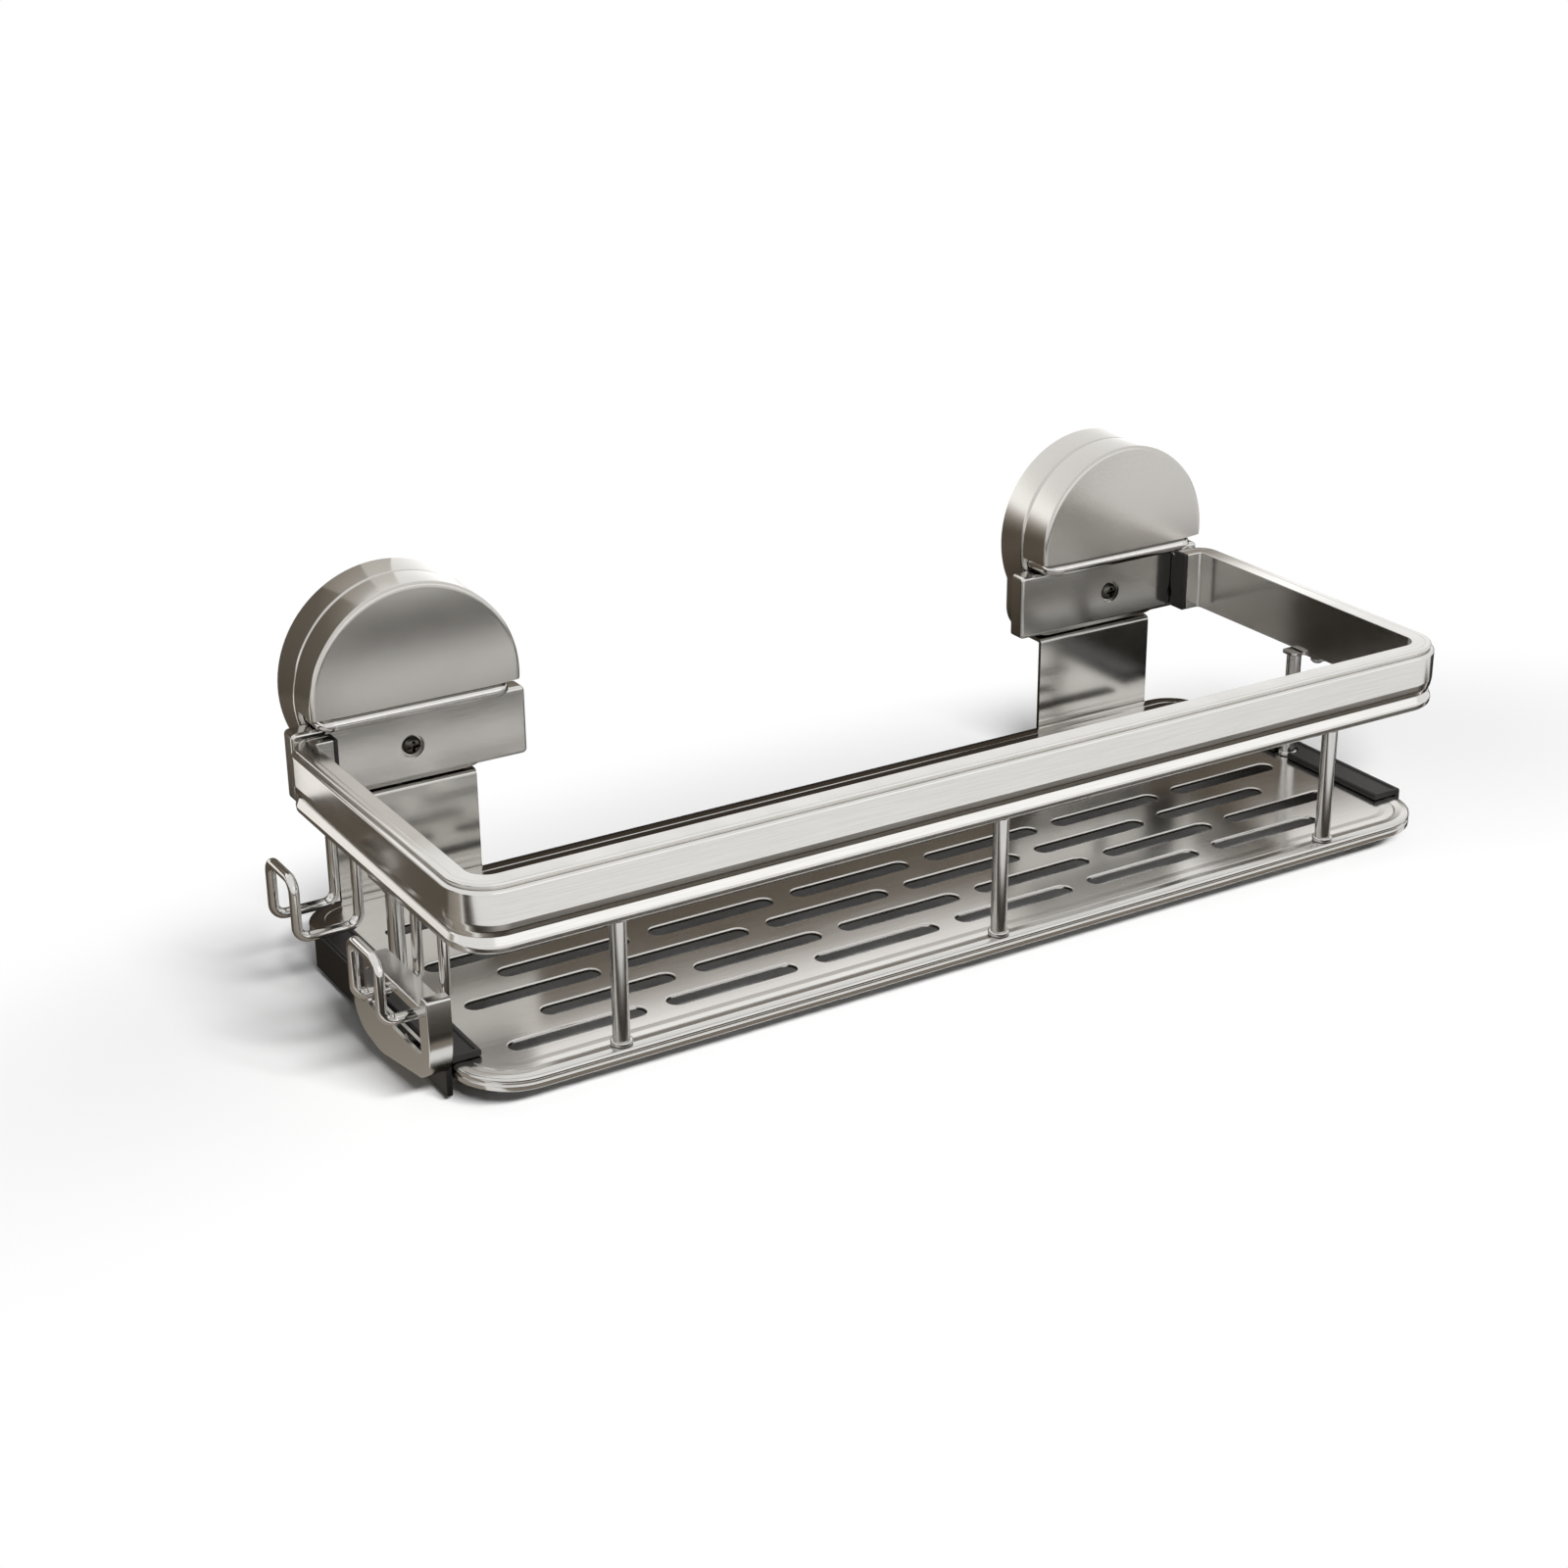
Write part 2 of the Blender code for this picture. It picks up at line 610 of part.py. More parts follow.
def make_front_posts():
    """Front posts, each with a stud in a channel nut above and a screw below."""
    foot = TRAY_TOP + GAP
    height = RAIL_BOTTOM - GAP - foot
    stud = RAIL_LIP + 2 * GAP + NUT_HEIGHT
    for name, (x, y) in zip(("left", "centre", "right"), front_post_places()):
        profile = post_profile(height) + [
            (POST_STUD_RADIUS, height), (POST_STUD_RADIUS, height + stud), (0, height + stud),
        ]
        place = Matrix.Translation((x, y, foot))
        as_object("front_post_" + name, turned(profile, ROUND_STEPS), POLISHED_STEEL, place)
        channel_nut("front_nut_" + name, x, y, 0, POST_STUD_RADIUS + GAP)
        tray_screw("front_post_screw_" + name, x, y)


def tray_screw(name, x, y):
    """Screw from under the tray into a post."""
    length = TRAY_SHEET + GAP * 2 + POST_BORE_DEPTH - OVERRUN
    place = Matrix.Translation((x, y, TRAY_UNDER - GAP)) @ UPSIDE_DOWN
    small_screw(name, length, place)


def make_side_post(hand):
    """Side post with a foot plate under the rail, held by a screw and a channel nut."""
    side = SIDES[hand]
    x = -SIDE_POST_X
    y = SIDE_POST_Y
    foot = TRAY_TOP + GAP
    plate_top = RAIL_BOTTOM - GAP
    height = plate_top - BITE - foot
    profile = post_profile(height) + [(0, height)]
    place = HANDS[hand] @ Matrix.Translation((x, y, foot))
    post = as_object(hand + "_side_post", turned(profile, ROUND_STEPS), POLISHED_STEEL, place)
    rear = y + POST_COLLAR_RADIUS
    front = rear - SIDE_FOOT_LENGTH
    inner = x + POST_COLLAR_RADIUS
    outer = -HALF_LENGTH + SIDE_FOOT_MARGIN
    waist = -HALF_LENGTH + RAIL_WIDTH - SIDE_FOOT_MARGIN
    outline = rounded(
        (
            (outer, front, SIDE_FOOT_MARGIN), (waist, front, SIDE_FOOT_MARGIN),
            (waist, y - POST_COLLAR_RADIUS, 0), (inner, y - POST_COLLAR_RADIUS, SIDE_FOOT_MARGIN),
            (inner, rear, SIDE_FOOT_MARGIN), (outer, rear, SIDE_FOOT_MARGIN),
        ),
        REAR_BEND_STEPS,
    )
    plate = prism(outline, plate_top - SIDE_FOOT_THICKNESS, plate_top)
    combine(post, as_tool(hand + "_side_foot", plate, HANDS[hand]), "UNION")
    screw_x = -HALF_LENGTH + CHANNEL_INSET
    screw_y = y - SIDE_FOOT_SCREW_PITCH
    hole = prism(
        circle(screw_x, screw_y, CLEAR_SMALL, SMALL_SCREW_STEPS),
        plate_top - SIDE_FOOT_THICKNESS - OVERRUN, plate_top + OVERRUN,
    )
    combine(post, as_tool(hand + "_side_foot_hole", hole, HANDS[hand]), "DIFFERENCE")
    centre = side * -screw_x
    length = SIDE_FOOT_THICKNESS + RAIL_LIP + NUT_HEIGHT + 3 * GAP
    head = Matrix.Translation((centre, screw_y, plate_top - SIDE_FOOT_THICKNESS - GAP)) @ UPSIDE_DOWN
    small_screw(hand + "_side_foot_screw", length, head)
    channel_nut(hand + "_side_nut", centre, screw_y, pi / 2, CLEAR_SMALL)
    tray_screw(hand + "_side_post_screw", side * -x, y)


def make_strip(hand):
    """Dark strip folded over a short edge of the tray, notched round the side post."""
    outer = -HALF_LENGTH
    top = TRAY_TOP + STRIP_RISE
    seat = TRAY_TOP + GAP
    section = [
        (outer, top - STRIP_HEIGHT), (outer + STRIP_SKIRT, top - STRIP_HEIGHT),
        (outer + STRIP_SKIRT, seat), (outer + STRIP_FLANGE, seat),
        (outer + STRIP_FLANGE, top), (outer, top),
    ]
    front = -RAIL_REACH + STRIP_FROM_FRONT
    rings = [[(x, y, height) for x, height in section] for y in (front, -STRIP_FROM_WALL)]
    strip = as_object(hand + "_edge_strip", loft(rings), DARK_PLASTIC, HANDS[hand])
    x = -SIDE_POST_X
    y = SIDE_POST_Y
    radius = POST_COLLAR_RADIUS + GAP
    open_side = outer + STRIP_FLANGE + OVERRUN
    notch = arc((x, y), radius, pi / 2, 3 * pi / 2, REAR_BEND_STEPS)
    notch += [(open_side, y - radius), (open_side, y + radius)]
    body = prism(notch, seat - OVERRUN, top + OVERRUN)
    combine(strip, as_tool(hand + "_strip_notch", body, HANDS[hand]), "DIFFERENCE")
    if hand == "left":
        holes = bmesh.new()
        for place in pocket_screw_places():
            outline = circle(place, pocket_screw_height(), POCKET_SCREW_RADIUS + GAP, SMALL_SCREW_STEPS)
            add_prism(holes, outline, outer - OVERRUN, outer + STRIP_SKIRT + OVERRUN)
        combine(strip, as_tool("strip_screw_holes", holes, ALONG_X), "DIFFERENCE")


def base_outline(radius, half_width, drop, corner):
    """Outline of a mount's housing: a disc whose lower half runs down into a square foot."""
    start = -asin(sqrt(radius * radius - half_width * half_width) / radius)
    over = arc((0, 0), radius, start, pi - start, BASE_STEPS)
    left = arc((-half_width + corner, -drop + corner), corner, pi, 3 * pi / 2, REAR_BEND_STEPS)
    right = arc((half_width - corner, -drop + corner), corner, 3 * pi / 2, 2 * pi, REAR_BEND_STEPS)
    return over + left + right


def drawn_in(radius, inset):
    """Housing outline of one radius, drawn in all round."""
    slack = BASE_RADIUS - radius + inset
    return base_outline(radius - inset, BASE_HALF_WIDTH - slack, BASE_DROP - slack, BASE_CORNER - slack)


def make_base(hand, place):
    """Hollow housing that holds the pad, the pull yoke and the screw boss."""
    inner_front = BASE_FRONT_OUT - BASE_FRONT_WALL
    levels = (
        (BASE_FRONT_RADIUS, BASE_SIDE_WALL, inner_front), (BASE_RADIUS, BASE_SIDE_WALL, BASE_REAR_OUT),
        (BASE_RADIUS, 0, BASE_REAR_OUT), (BASE_FRONT_RADIUS, 0, BASE_FRONT_OUT - BASE_EDGE),
        (BASE_FRONT_RADIUS, BASE_EDGE, BASE_FRONT_OUT),
    )
    rings = [[(x, z, out) for x, z in drawn_in(radius, inset)] for radius, inset, out in levels]
    base = as_object(hand + "_base", loft(rings), COVER_METAL, place)
    inner = PRESS_RING_RADIUS - PRESS_RING_WALL
    rear = PAD_THICKNESS + GAP
    front = inner_front + BITE
    profile = [(PRESS_RING_RADIUS, rear), (PRESS_RING_RADIUS, front), (inner, front), (inner, rear)]
    ring = turned(profile + profile[:1], BASE_STEPS)
    combine(base, as_tool(hand + "_press_ring", ring, place), "UNION")
    outline = circle(0, -PLATE_SCREW_DROP, BOSS_RADIUS, ROUND_STEPS)
    boss = prism(outline, BASE_FRONT_OUT - BITE, PLATE_REAR - GAP)
    combine(base, as_tool(hand + "_boss", boss, place), "UNION")
    cuts = bmesh.new()
    for x in (-ARM_X, ARM_X):
        outline = circle(x, -BAR_DROP, BAR_RADIUS + GAP, ROUND_STEPS)
        add_prism(cuts, outline, inner_front - OVERRUN, BASE_FRONT_OUT + OVERRUN)
    outline = circle(0, -PLATE_SCREW_DROP, PLATE_SCREW_RADIUS + GAP, ROUND_STEPS)
    add_prism(cuts, outline, inner_front - OVERRUN, PLATE_REAR + OVERRUN)
    combine(base, as_tool(hand + "_base_holes", cuts, place), "DIFFERENCE")
    notches = bmesh.new()
    near = PRESS_RING_RADIUS / 2
    far = PRESS_RING_RADIUS + OVERRUN
    low = -BAR_DROP - YOKE_HEIGHT / 2 - OVERRUN
    high = -BAR_DROP + YOKE_HEIGHT / 2 + OVERRUN
    for left, right in ((-far, -near), (near, far)):
        slot = rectangle(left, right, low, high)
        add_prism(notches, slot, YOKE_OUT - YOKE_THICKNESS - PULL_STROKE - GAP, inner_front - GAP)
    combine(base, as_tool(hand + "_ring_notches", notches, place), "DIFFERENCE")
    hole = prism(
        circle(0, -flange_screw_out(), CLEAR_SMALL, SMALL_SCREW_STEPS),
        -BASE_DROP - OVERRUN, -BASE_DROP + BASE_SIDE_WALL + 2 * OVERRUN,
    )
    along = Matrix.Translation((place.translation.x, 0, 0))
    combine(base, as_tool(hand + "_base_foot_hole", hole, along), "DIFFERENCE")


def flange_screw_out():
    """Distance from the wall of the screw between hanger and housing."""
    return HANGER_OUT - HANGER_THICKNESS - HANGER_FLANGE / 2 + GAP


def make_pad(hand, place):
    """Soft suction pad round the pull core, sealing on a flat ring at the wall."""
    bore = CORE_RADIUS + GAP
    seal = PAD_RADIUS - PAD_SEAL_WIDTH
    profile = [
        (bore, PAD_RELIEF), (seal - PAD_RELIEF, PAD_RELIEF), (seal, 0), (PAD_RADIUS, 0),
        (PAD_RADIUS, PAD_RELIEF), (PAD_RADIUS - PAD_RELIEF, PAD_THICKNESS), (bore, PAD_THICKNESS),
        (bore, PAD_RELIEF),
    ]
    as_object(hand + "_suction_pad", turned(profile, PAD_STEPS), SOFT_RUBBER, place)


def make_yoke(hand, place, slide):
    """Yoke that joins the bail's arms to the core of the pad."""
    rear = YOKE_OUT - YOKE_THICKNESS
    profile = [
        (0, CORE_LIFT), (CORE_RADIUS, CORE_LIFT), (CORE_RADIUS, rear), (CORE_FLANGE_RADIUS, rear),
        (CORE_FLANGE_RADIUS, YOKE_OUT), (0, YOKE_OUT),
    ]
    yoke = as_object(hand + "_pull_yoke", turned(profile, ROUND_STEPS), SCREW_STEEL, place)
    half = ARM_X + BAR_RADIUS - GAP
    round_off = YOKE_HEIGHT / 2 - GAP
    corners = [
        (-half, -BAR_DROP - YOKE_HEIGHT / 2, round_off), (half, -BAR_DROP - YOKE_HEIGHT / 2, round_off),
        (half, -BAR_DROP + YOKE_HEIGHT / 2, round_off), (-half, -BAR_DROP + YOKE_HEIGHT / 2, round_off),
    ]
    body = prism(rounded(corners, REAR_BEND_STEPS), rear + BITE, YOKE_OUT - BITE)
    combine(yoke, as_tool(hand + "_yoke_bar", body, place), "UNION")
    hang(yoke, slide)


def make_bail(hand, place, slide):
    """Bail: the round bar under the lever, with arms that run back through the housing."""
    end = YOKE_OUT + GAP
    corners = [
        place @ Vector((x, -BAR_DROP, out))
        for x, out in ((-ARM_X, end), (-ARM_X, BAR_OUT), (ARM_X, BAR_OUT), (ARM_X, end))
    ]
    route = bent(corners, BAIL_BEND, REAR_BEND_STEPS)
    bail = wire(hand + "_bail", route, BAR_RADIUS, POLISHED_STEEL, WIRE_STEPS)
    hang(bail, slide)


def lever_outline(inset):
    """Upper half-disc of the lever, drawn in all round."""
    radius = LEVER_RADIUS - inset
    chord = -LEVER_CHORD_DROP + inset
    start = asin(chord / radius)
    return arc((0, 0), radius, start, pi - start, LEVER_STEPS)


def make_lever(hand, place, hinge):
    """Half-disc lever shell with two ears that grip the bar from behind."""
    levels = (
        (LEVER_WALL, LEVER_FRONT_OUT - LEVER_WALL), (LEVER_WALL, LEVER_REAR_OUT), (0, LEVER_REAR_OUT),
        (0, LEVER_FRONT_OUT - LEVER_CHAMFER), (LEVER_CHAMFER, LEVER_FRONT_OUT),
    )
    rings = [[(x, z, out) for x, z in lever_outline(inset)] for inset, out in levels]
    lever = as_object(hand + "_lever", loft(rings), COVER_METAL, place)
    inner = BAR_RADIUS + GAP
    outer = inner + EAR_THICKNESS
    shelf = BAR_DROP - LEVER_CHORD_DROP + LEVER_WALL / 2
    outline = arc((0, 0), inner, EAR_START, EAR_END, EAR_STEPS)
    outline += arc((0, 0), outer, EAR_END, 0, EAR_STEPS)
    outline += [(outer, shelf), (inner * cos(EAR_START), shelf)]
    ears = bmesh.new()
    for x in (-EAR_SPACING / 2, EAR_SPACING / 2):
        add_prism(ears, outline, x - EAR_WIDTH / 2, x + EAR_WIDTH / 2)
    axis = Matrix.Translation(place @ Vector((0, -BAR_DROP, BAR_OUT)))
    combine(lever, as_tool(hand + "_lever_ears", ears, axis @ ALONG_X), "UNION")
    hang(lever, hinge)


def make_front_plate(hand, place):
    """Channel-shaped front plate that carries the rail's return."""
    rear = BASE_FRONT_OUT + GAP
    low = PLATE_TOP - PLATE_HEIGHT
    top = PLATE_TOP
    inside = PLATE_THICKNESS
    section = [
        (-rear, top), (-PLATE_OUT, top), (-PLATE_OUT, low), (-rear, low), (-rear, low + inside),
        (-PLATE_OUT + inside, low + inside), (-PLATE_OUT + inside, top - inside), (-rear, top - inside),
    ]
    centre = place.translation.x
    half = PLATE_WIDTH / 2
    body = prism(section, centre - half, centre + half)
    plate = as_object(hand + "_front_plate", body, SATIN_STEEL, ALONG_X)
    cuts = bmesh.new()
    outline = circle(centre, -PLATE_SCREW_DROP, PLATE_SCREW_RADIUS + GAP, ROUND_STEPS)
    add_prism(cuts, outline, PLATE_REAR - OVERRUN, PLATE_OUT + OVERRUN)
    side = SIDES[hand]
    rail_x = side * (HALF_LENGTH - RAIL_SCREW_INSET)
    outline = circle(rail_x, rail_screw_height(), CLEAR_SMALL, SMALL_SCREW_STEPS)
    add_prism(cuts, outline, PLATE_REAR - OVERRUN, PLATE_OUT + OVERRUN)
    combine(plate, as_tool(hand + "_plate_holes", cuts, FROM_WALL), "DIFFERENCE")
    seat = Matrix.Translation((centre, -PLATE_OUT - GAP, -PLATE_SCREW_DROP)) @ FROM_WALL
    bolt = screw(
        hand + "_plate_screw", PLATE_HEAD_RADIUS, PLATE_HEAD_HEIGHT, PLATE_SCREW_RADIUS,
        PLATE_SCREW_LENGTH, seat, PLATE_SCREW_STEPS,
    )
    long = RECESS_LENGTH / 2
    wide = RECESS_WIDTH / 2
    cross = [
        (long, -wide), (long, wide), (wide, wide), (wide, long), (-wide, long), (-wide, wide),
        (-long, wide), (-long, -wide), (-wide, -wide), (-wide, -long), (wide, -long), (wide, -wide),
    ]
    recess = prism(cross, PLATE_HEAD_HEIGHT - RECESS_DEPTH, PLATE_HEAD_HEIGHT + OVERRUN)
    combine(bolt, as_tool(hand + "_screw_recess", recess, seat), "DIFFERENCE")
    behind = Matrix.Translation((rail_x, -PLATE_REAR + GAP, rail_screw_height()))
    length = PLATE_THICKNESS + RAIL_SKIN + 2 * GAP + OVERRUN
    small_screw(hand + "_rail_screw", length, behind @ FROM_WALL @ UPSIDE_DOWN)


def hanger_screw_places(side):
    """X of the two screws between one hanger and the tray's rear rim."""
    centre = side * MOUNT_X
    return [centre - HANGER_SCREW_PITCH / 2, centre + HANGER_SCREW_PITCH / 2]


def hanger_screw_height():
    """Height of those screws, in the middle of the rim."""
    return (TRAY_UNDER + TRAY_FOOT) / 2


def make_hanger(hand, place):
    """Angle bracket from the housing's foot down to the tray's rear rim."""
    centre = place.translation.x
    top = -BASE_DROP - GAP
    low = TRAY_FOOT
    half = HANGER_WIDTH / 2
    rear = HANGER_REAR - HANGER_FLANGE + GAP
    under = top - HANGER_THICKNESS
    section = [
        (-HANGER_OUT, low - OVERRUN), (-HANGER_REAR, low - OVERRUN), (-HANGER_REAR, under),
        (-rear, under), (-rear, top), (-HANGER_OUT, top),
    ]
    angle = prism(section, centre - half - OVERRUN, centre + half + OVERRUN)
    hanger = as_object(hand + "_hanger", angle, SATIN_STEEL, ALONG_X)
    outline = rounded(
        (
            (centre - half, low, HANGER_CORNER), (centre + half, low, HANGER_CORNER),
            (centre + half, top + OVERRUN, 0), (centre - half, top + OVERRUN, 0),
        ),
        REAR_BEND_STEPS,
    )
    trim = prism(outline, rear - OVERRUN, HANGER_OUT + OVERRUN)
    combine(hanger, as_tool(hand + "_hanger_trim", trim, FROM_WALL), "INTERSECT")
    holes = bmesh.new()
    for x in hanger_screw_places(SIDES[hand]):
        outline = circle(x, hanger_screw_height(), CLEAR_SMALL, SMALL_SCREW_STEPS)
        add_prism(holes, outline, HANGER_REAR - OVERRUN, HANGER_OUT + OVERRUN)
    combine(hanger, as_tool(hand + "_hanger_holes", holes, FROM_WALL), "DIFFERENCE")
    hole = prism(
        circle(centre, -flange_screw_out(), CLEAR_SMALL, SMALL_SCREW_STEPS),
        under - OVERRUN, top + OVERRUN,
    )
    combine(hanger, as_tool(hand + "_flange_hole", hole), "DIFFERENCE")
    length = HANGER_THICKNESS + BASE_SIDE_WALL + 2 * GAP + 2 * OVERRUN
    below = Matrix.Translation((centre, -flange_screw_out(), under - GAP)) @ UPSIDE_DOWN
    small_screw(hand + "_base_screw", length, below)
    length = HANGER_THICKNESS + TRAY_SHEET + 2 * GAP + OVERRUN
    for name, x in zip(("outer", "inner"), hanger_screw_places(SIDES[hand])[::-SIDES[hand]]):
        behind = Matrix.Translation((x, -HANGER_REAR + GAP, hanger_screw_height()))
        small_screw(hand + "_hanger_screw_" + name, length, behind @ FROM_WALL @ UPSIDE_DOWN)


def make_mount(hand):
    """One suction mount: housing, pad, yoke, bail, lever, front plate and hanger."""
    centre = Vector((SIDES[hand] * MOUNT_X, 0, 0))
    place = Matrix.Translation(centre) @ FROM_WALL
    axis = centre + Vector((0, -BAR_OUT, -BAR_DROP))
    slide = pivot(hand + "_pull_axis", axis)
    hinge = pivot(hand + "_lever_axis", axis, slide)
    make_base(hand, place)
    make_pad(hand, place)
    make_yoke(hand, place, slide)
    make_bail(hand, place, slide)
    make_lever(hand, place, hinge)
    make_front_plate(hand, place)
    make_hanger(hand, place)


def make_hook(name, share):
    """Double wire hook whose slider runs in the channel of the left side rail."""
    x = -HALF_LENGTH + CHANNEL_INSET
    y = -RAIL_REACH * share
    half = HOOK_SPREAD / 2
    top = LIP_TOP
    low = RIDGE - HOOK_DEPTH
    outer = x - HOOK_OUT
    high = low + HOOK_RISE
    corners = [
        (x, y + half, top), (x, y + half, low), (outer, y + half, low), (outer, y + half, high),
        (outer, y - half, high), (outer, y - half, low), (x, y - half, low), (x, y - half, top),
    ]
    bottom = LIP_TOP + GAP
    axis = pivot(name + "_axis", Vector((x, y, bottom)))
    route = bent(corners, HOOK_BEND, REAR_BEND_STEPS)
    hook = wire(name, route, WIRE_RADIUS, POLISHED_STEEL, WIRE_STEPS)
    hang(hook, axis)
    wide = SLIDER_WIDTH / 2
    long = SLIDER_LENGTH / 2
    block = rectangle(x - wide, x + wide, y - long, y + long)
    slider = as_object(name + "_slider", prism(block, bottom, bottom + SLIDER_HEIGHT), DARK_PLASTIC)
    hang(slider, axis)


def pocket_point(share, drop_share):
    """A point of the pocket's outline as (y, z)."""
    y = POCKET_FRONT + POCKET_LENGTH * share
    return y, -POCKET_TOP_DROP - POCKET_HEIGHT * drop_share


def pocket_screw_places():
    """Y of the two screws through the pocket's back."""
    middle = POCKET_FRONT + POCKET_LENGTH * POCKET_SCREW_SHARE
    return [middle - POCKET_SCREW_PITCH / 2, middle + POCKET_SCREW_PITCH / 2]


def pocket_screw_height():
    """Height of those screws, in the middle of the tray's rim."""
    return (TRAY_UNDER + TRAY_FOOT) / 2


def drawn_inwards(outline, inset):
    """Outline moved inwards all round by mitred corners."""
    result = []
    for k, point in enumerate(outline):
        here = Vector(point)
        back = (here - Vector(outline[k - 1])).normalized()
        ahead = (Vector(outline[(k + 1) % len(outline)]) - here).normalized()
        normal = Vector((-(back.y + ahead.y), back.x + ahead.x)).normalized()
        stretch = 1 / normal.dot(Vector((-back.y, back.x)))
        result.append(tuple(here + normal * inset * stretch))
    return result


def make_pocket():
    """Narrow side pocket with a window, fixed to the left strip."""
    outline = [pocket_point(*shares) for shares in POCKET_SHARES]
    inner_x = -HALF_LENGTH - GAP
    outer_x = inner_x - POCKET_WIDTH
    pocket = as_object("side_pocket", prism(outline, outer_x, inner_x), SATIN_STEEL, ALONG_X)
    inside = drawn_inwards(outline, POCKET_RIM)
    hollow = prism(inside, outer_x + POCKET_FACE, inner_x - POCKET_FACE)
    combine(pocket, as_tool("pocket_hollow", hollow, ALONG_X), "DIFFERENCE")
    top = -POCKET_TOP_DROP - WINDOW_TOP
    front = POCKET_FRONT + WINDOW_FRONT
    rear = POCKET_FRONT + POCKET_LENGTH - WINDOW_REAR
    window = prism(
        rounded(
            (
                (front, top - WINDOW_HEIGHT, WINDOW_CORNER), (rear, top - WINDOW_HEIGHT, WINDOW_CORNER),
                (rear, top, WINDOW_CORNER), (front, top, WINDOW_CORNER),
            ),
            REAR_BEND_STEPS,
        ),
        outer_x - OVERRUN, inner_x - POCKET_FACE - OVERRUN,
    )
    combine(pocket, as_tool("pocket_window", window, ALONG_X), "DIFFERENCE")
    floor = -POCKET_TOP_DROP - POCKET_HEIGHT + POCKET_BACK_HEIGHT
    back = prism(
        [(y, max(z, floor)) for y, z in inside], inner_x - POCKET_FACE - OVERRUN, inner_x + OVERRUN,
    )
    combine(pocket, as_tool("pocket_back_opening", back, ALONG_X), "DIFFERENCE")
    holes = bmesh.new()
    for y in pocket_screw_places():
        outline = circle(y, pocket_screw_height(), POCKET_SCREW_RADIUS + GAP, SMALL_SCREW_STEPS)
        add_prism(holes, outline, inner_x - POCKET_FACE - OVERRUN, inner_x + OVERRUN)
    combine(pocket, as_tool("pocket_screw_holes", holes, ALONG_X), "DIFFERENCE")
    length = POCKET_FACE + GAP + STRIP_SKIRT + GAP + TRAY_SHEET + OVERRUN
    for name, y in zip(("front", "rear"), pocket_screw_places()):
        seat = Matrix.Translation((inner_x - POCKET_FACE - GAP, y, pocket_screw_height()))
        screw(
            "pocket_screw_" + name, POCKET_HEAD_RADIUS, POCKET_HEAD_HEIGHT, POCKET_SCREW_RADIUS, length,
            seat @ Matrix.Rotation(-pi / 2, 4, "Y"), SMALL_SCREW_STEPS,
        )


for leftover in list(bpy.data.objects):
    bpy.data.objects.remove(leftover, do_unlink=True)

make_rail()
make_tray()
make_front_posts()
for side_name in SIDES:
    make_end_cap(side_name)
    make_side_post(side_name)
    make_strip(side_name)
    make_mount(side_name)
make_hook("rear_hook", REAR_HOOK_SHARE)
make_hook("front_hook", FRONT_HOOK_SHARE)
make_pocket()
bpy.context.view_layer.update()
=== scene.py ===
"""Looks of the wall-held shower basket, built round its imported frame.

The frame's origin is on the wall, midway between the two suction pads, with X to the right,
Y into the wall and Z up. Sizes are written in millimetres and turned to metres by mm().
"""

from math import asin, atan2, cos, pi, radians, sin, sqrt, tan

import bpy
from mathutils import Matrix, Vector


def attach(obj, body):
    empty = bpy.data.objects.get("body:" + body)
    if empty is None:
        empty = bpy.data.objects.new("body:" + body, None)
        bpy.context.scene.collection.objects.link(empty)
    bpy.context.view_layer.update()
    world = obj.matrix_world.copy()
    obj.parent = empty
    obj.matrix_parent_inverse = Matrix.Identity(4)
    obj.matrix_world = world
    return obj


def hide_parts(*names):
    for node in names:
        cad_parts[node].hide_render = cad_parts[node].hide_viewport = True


# Metres within which two corners count as one, and millimetres within which a face counts as
# lying at a height
WELD = 0.000002
NEAR = 0.1

# How far a tool reaches past the faces that it cuts
OVERRUN = 1.0

# Guard rail
HALF_LENGTH = 190.0
REACH = 155.8
RETURN_OUT = 20.4
RETURN_LENGTH = 14.3
FRONT_BEND = 15.0
REAR_BEND = 9.2
REAR_BEND_STEPS = 14
FRONT_BEND_STEPS = 20
CAP_GAP = 0.3
CAP_THICKNESS = 1.2
CAP_EDGE = 0.35

# Section of the rail's shell as (inset from its outer face, height, corner radius):
# round its outside, then round the channel
RAIL_FACE = (
    (1.1, -32.2, 0.8), (0.25, -31.4, 0.8), (0.0, -29.7, 2.0), (0.95, -27.4, 0.9),
    (1.2, -26.95, 0.12), (0.4, -24.9, 3.0), (0.0, -22.5, 4.0), (0.0, -11.85, 1.2),
    (2.0, -11.85, 0.1), (2.0, -11.0, 0.1), (1.2, -11.0, 0.15), (1.2, -10.0, 0.7),
    (3.2, -10.0, 0.12), (3.28, -10.15, 0.04), (3.42, -10.15, 0.04), (3.5, -10.0, 0.12),
    (8.0, -10.0, 0.35), (8.0, -32.2, 0.6),
)
RAIL_CHANNEL = (
    (6.2, -32.2, 0.2), (6.2, -31.0, 0.1), (6.9, -31.0, 0.0), (6.9, -11.2, 0.0), (2.6, -11.2, 0.0),
    (2.6, -13.2, 0.0), (1.6, -14.2, 0.0), (1.6, -31.0, 0.0), (2.2, -31.0, 0.1), (2.2, -32.2, 0.1),
)

# Tray
TRAY_TOP = -74.2
TRAY_SHEET = 1.2
TRAY_SIDE = 187.7
TRAY_REAR = 12.3
TRAY_FRONT_CORNER = 20.0
TRAY_REAR_CORNER = 15.0
TRAY_CORNER_STEPS = 18

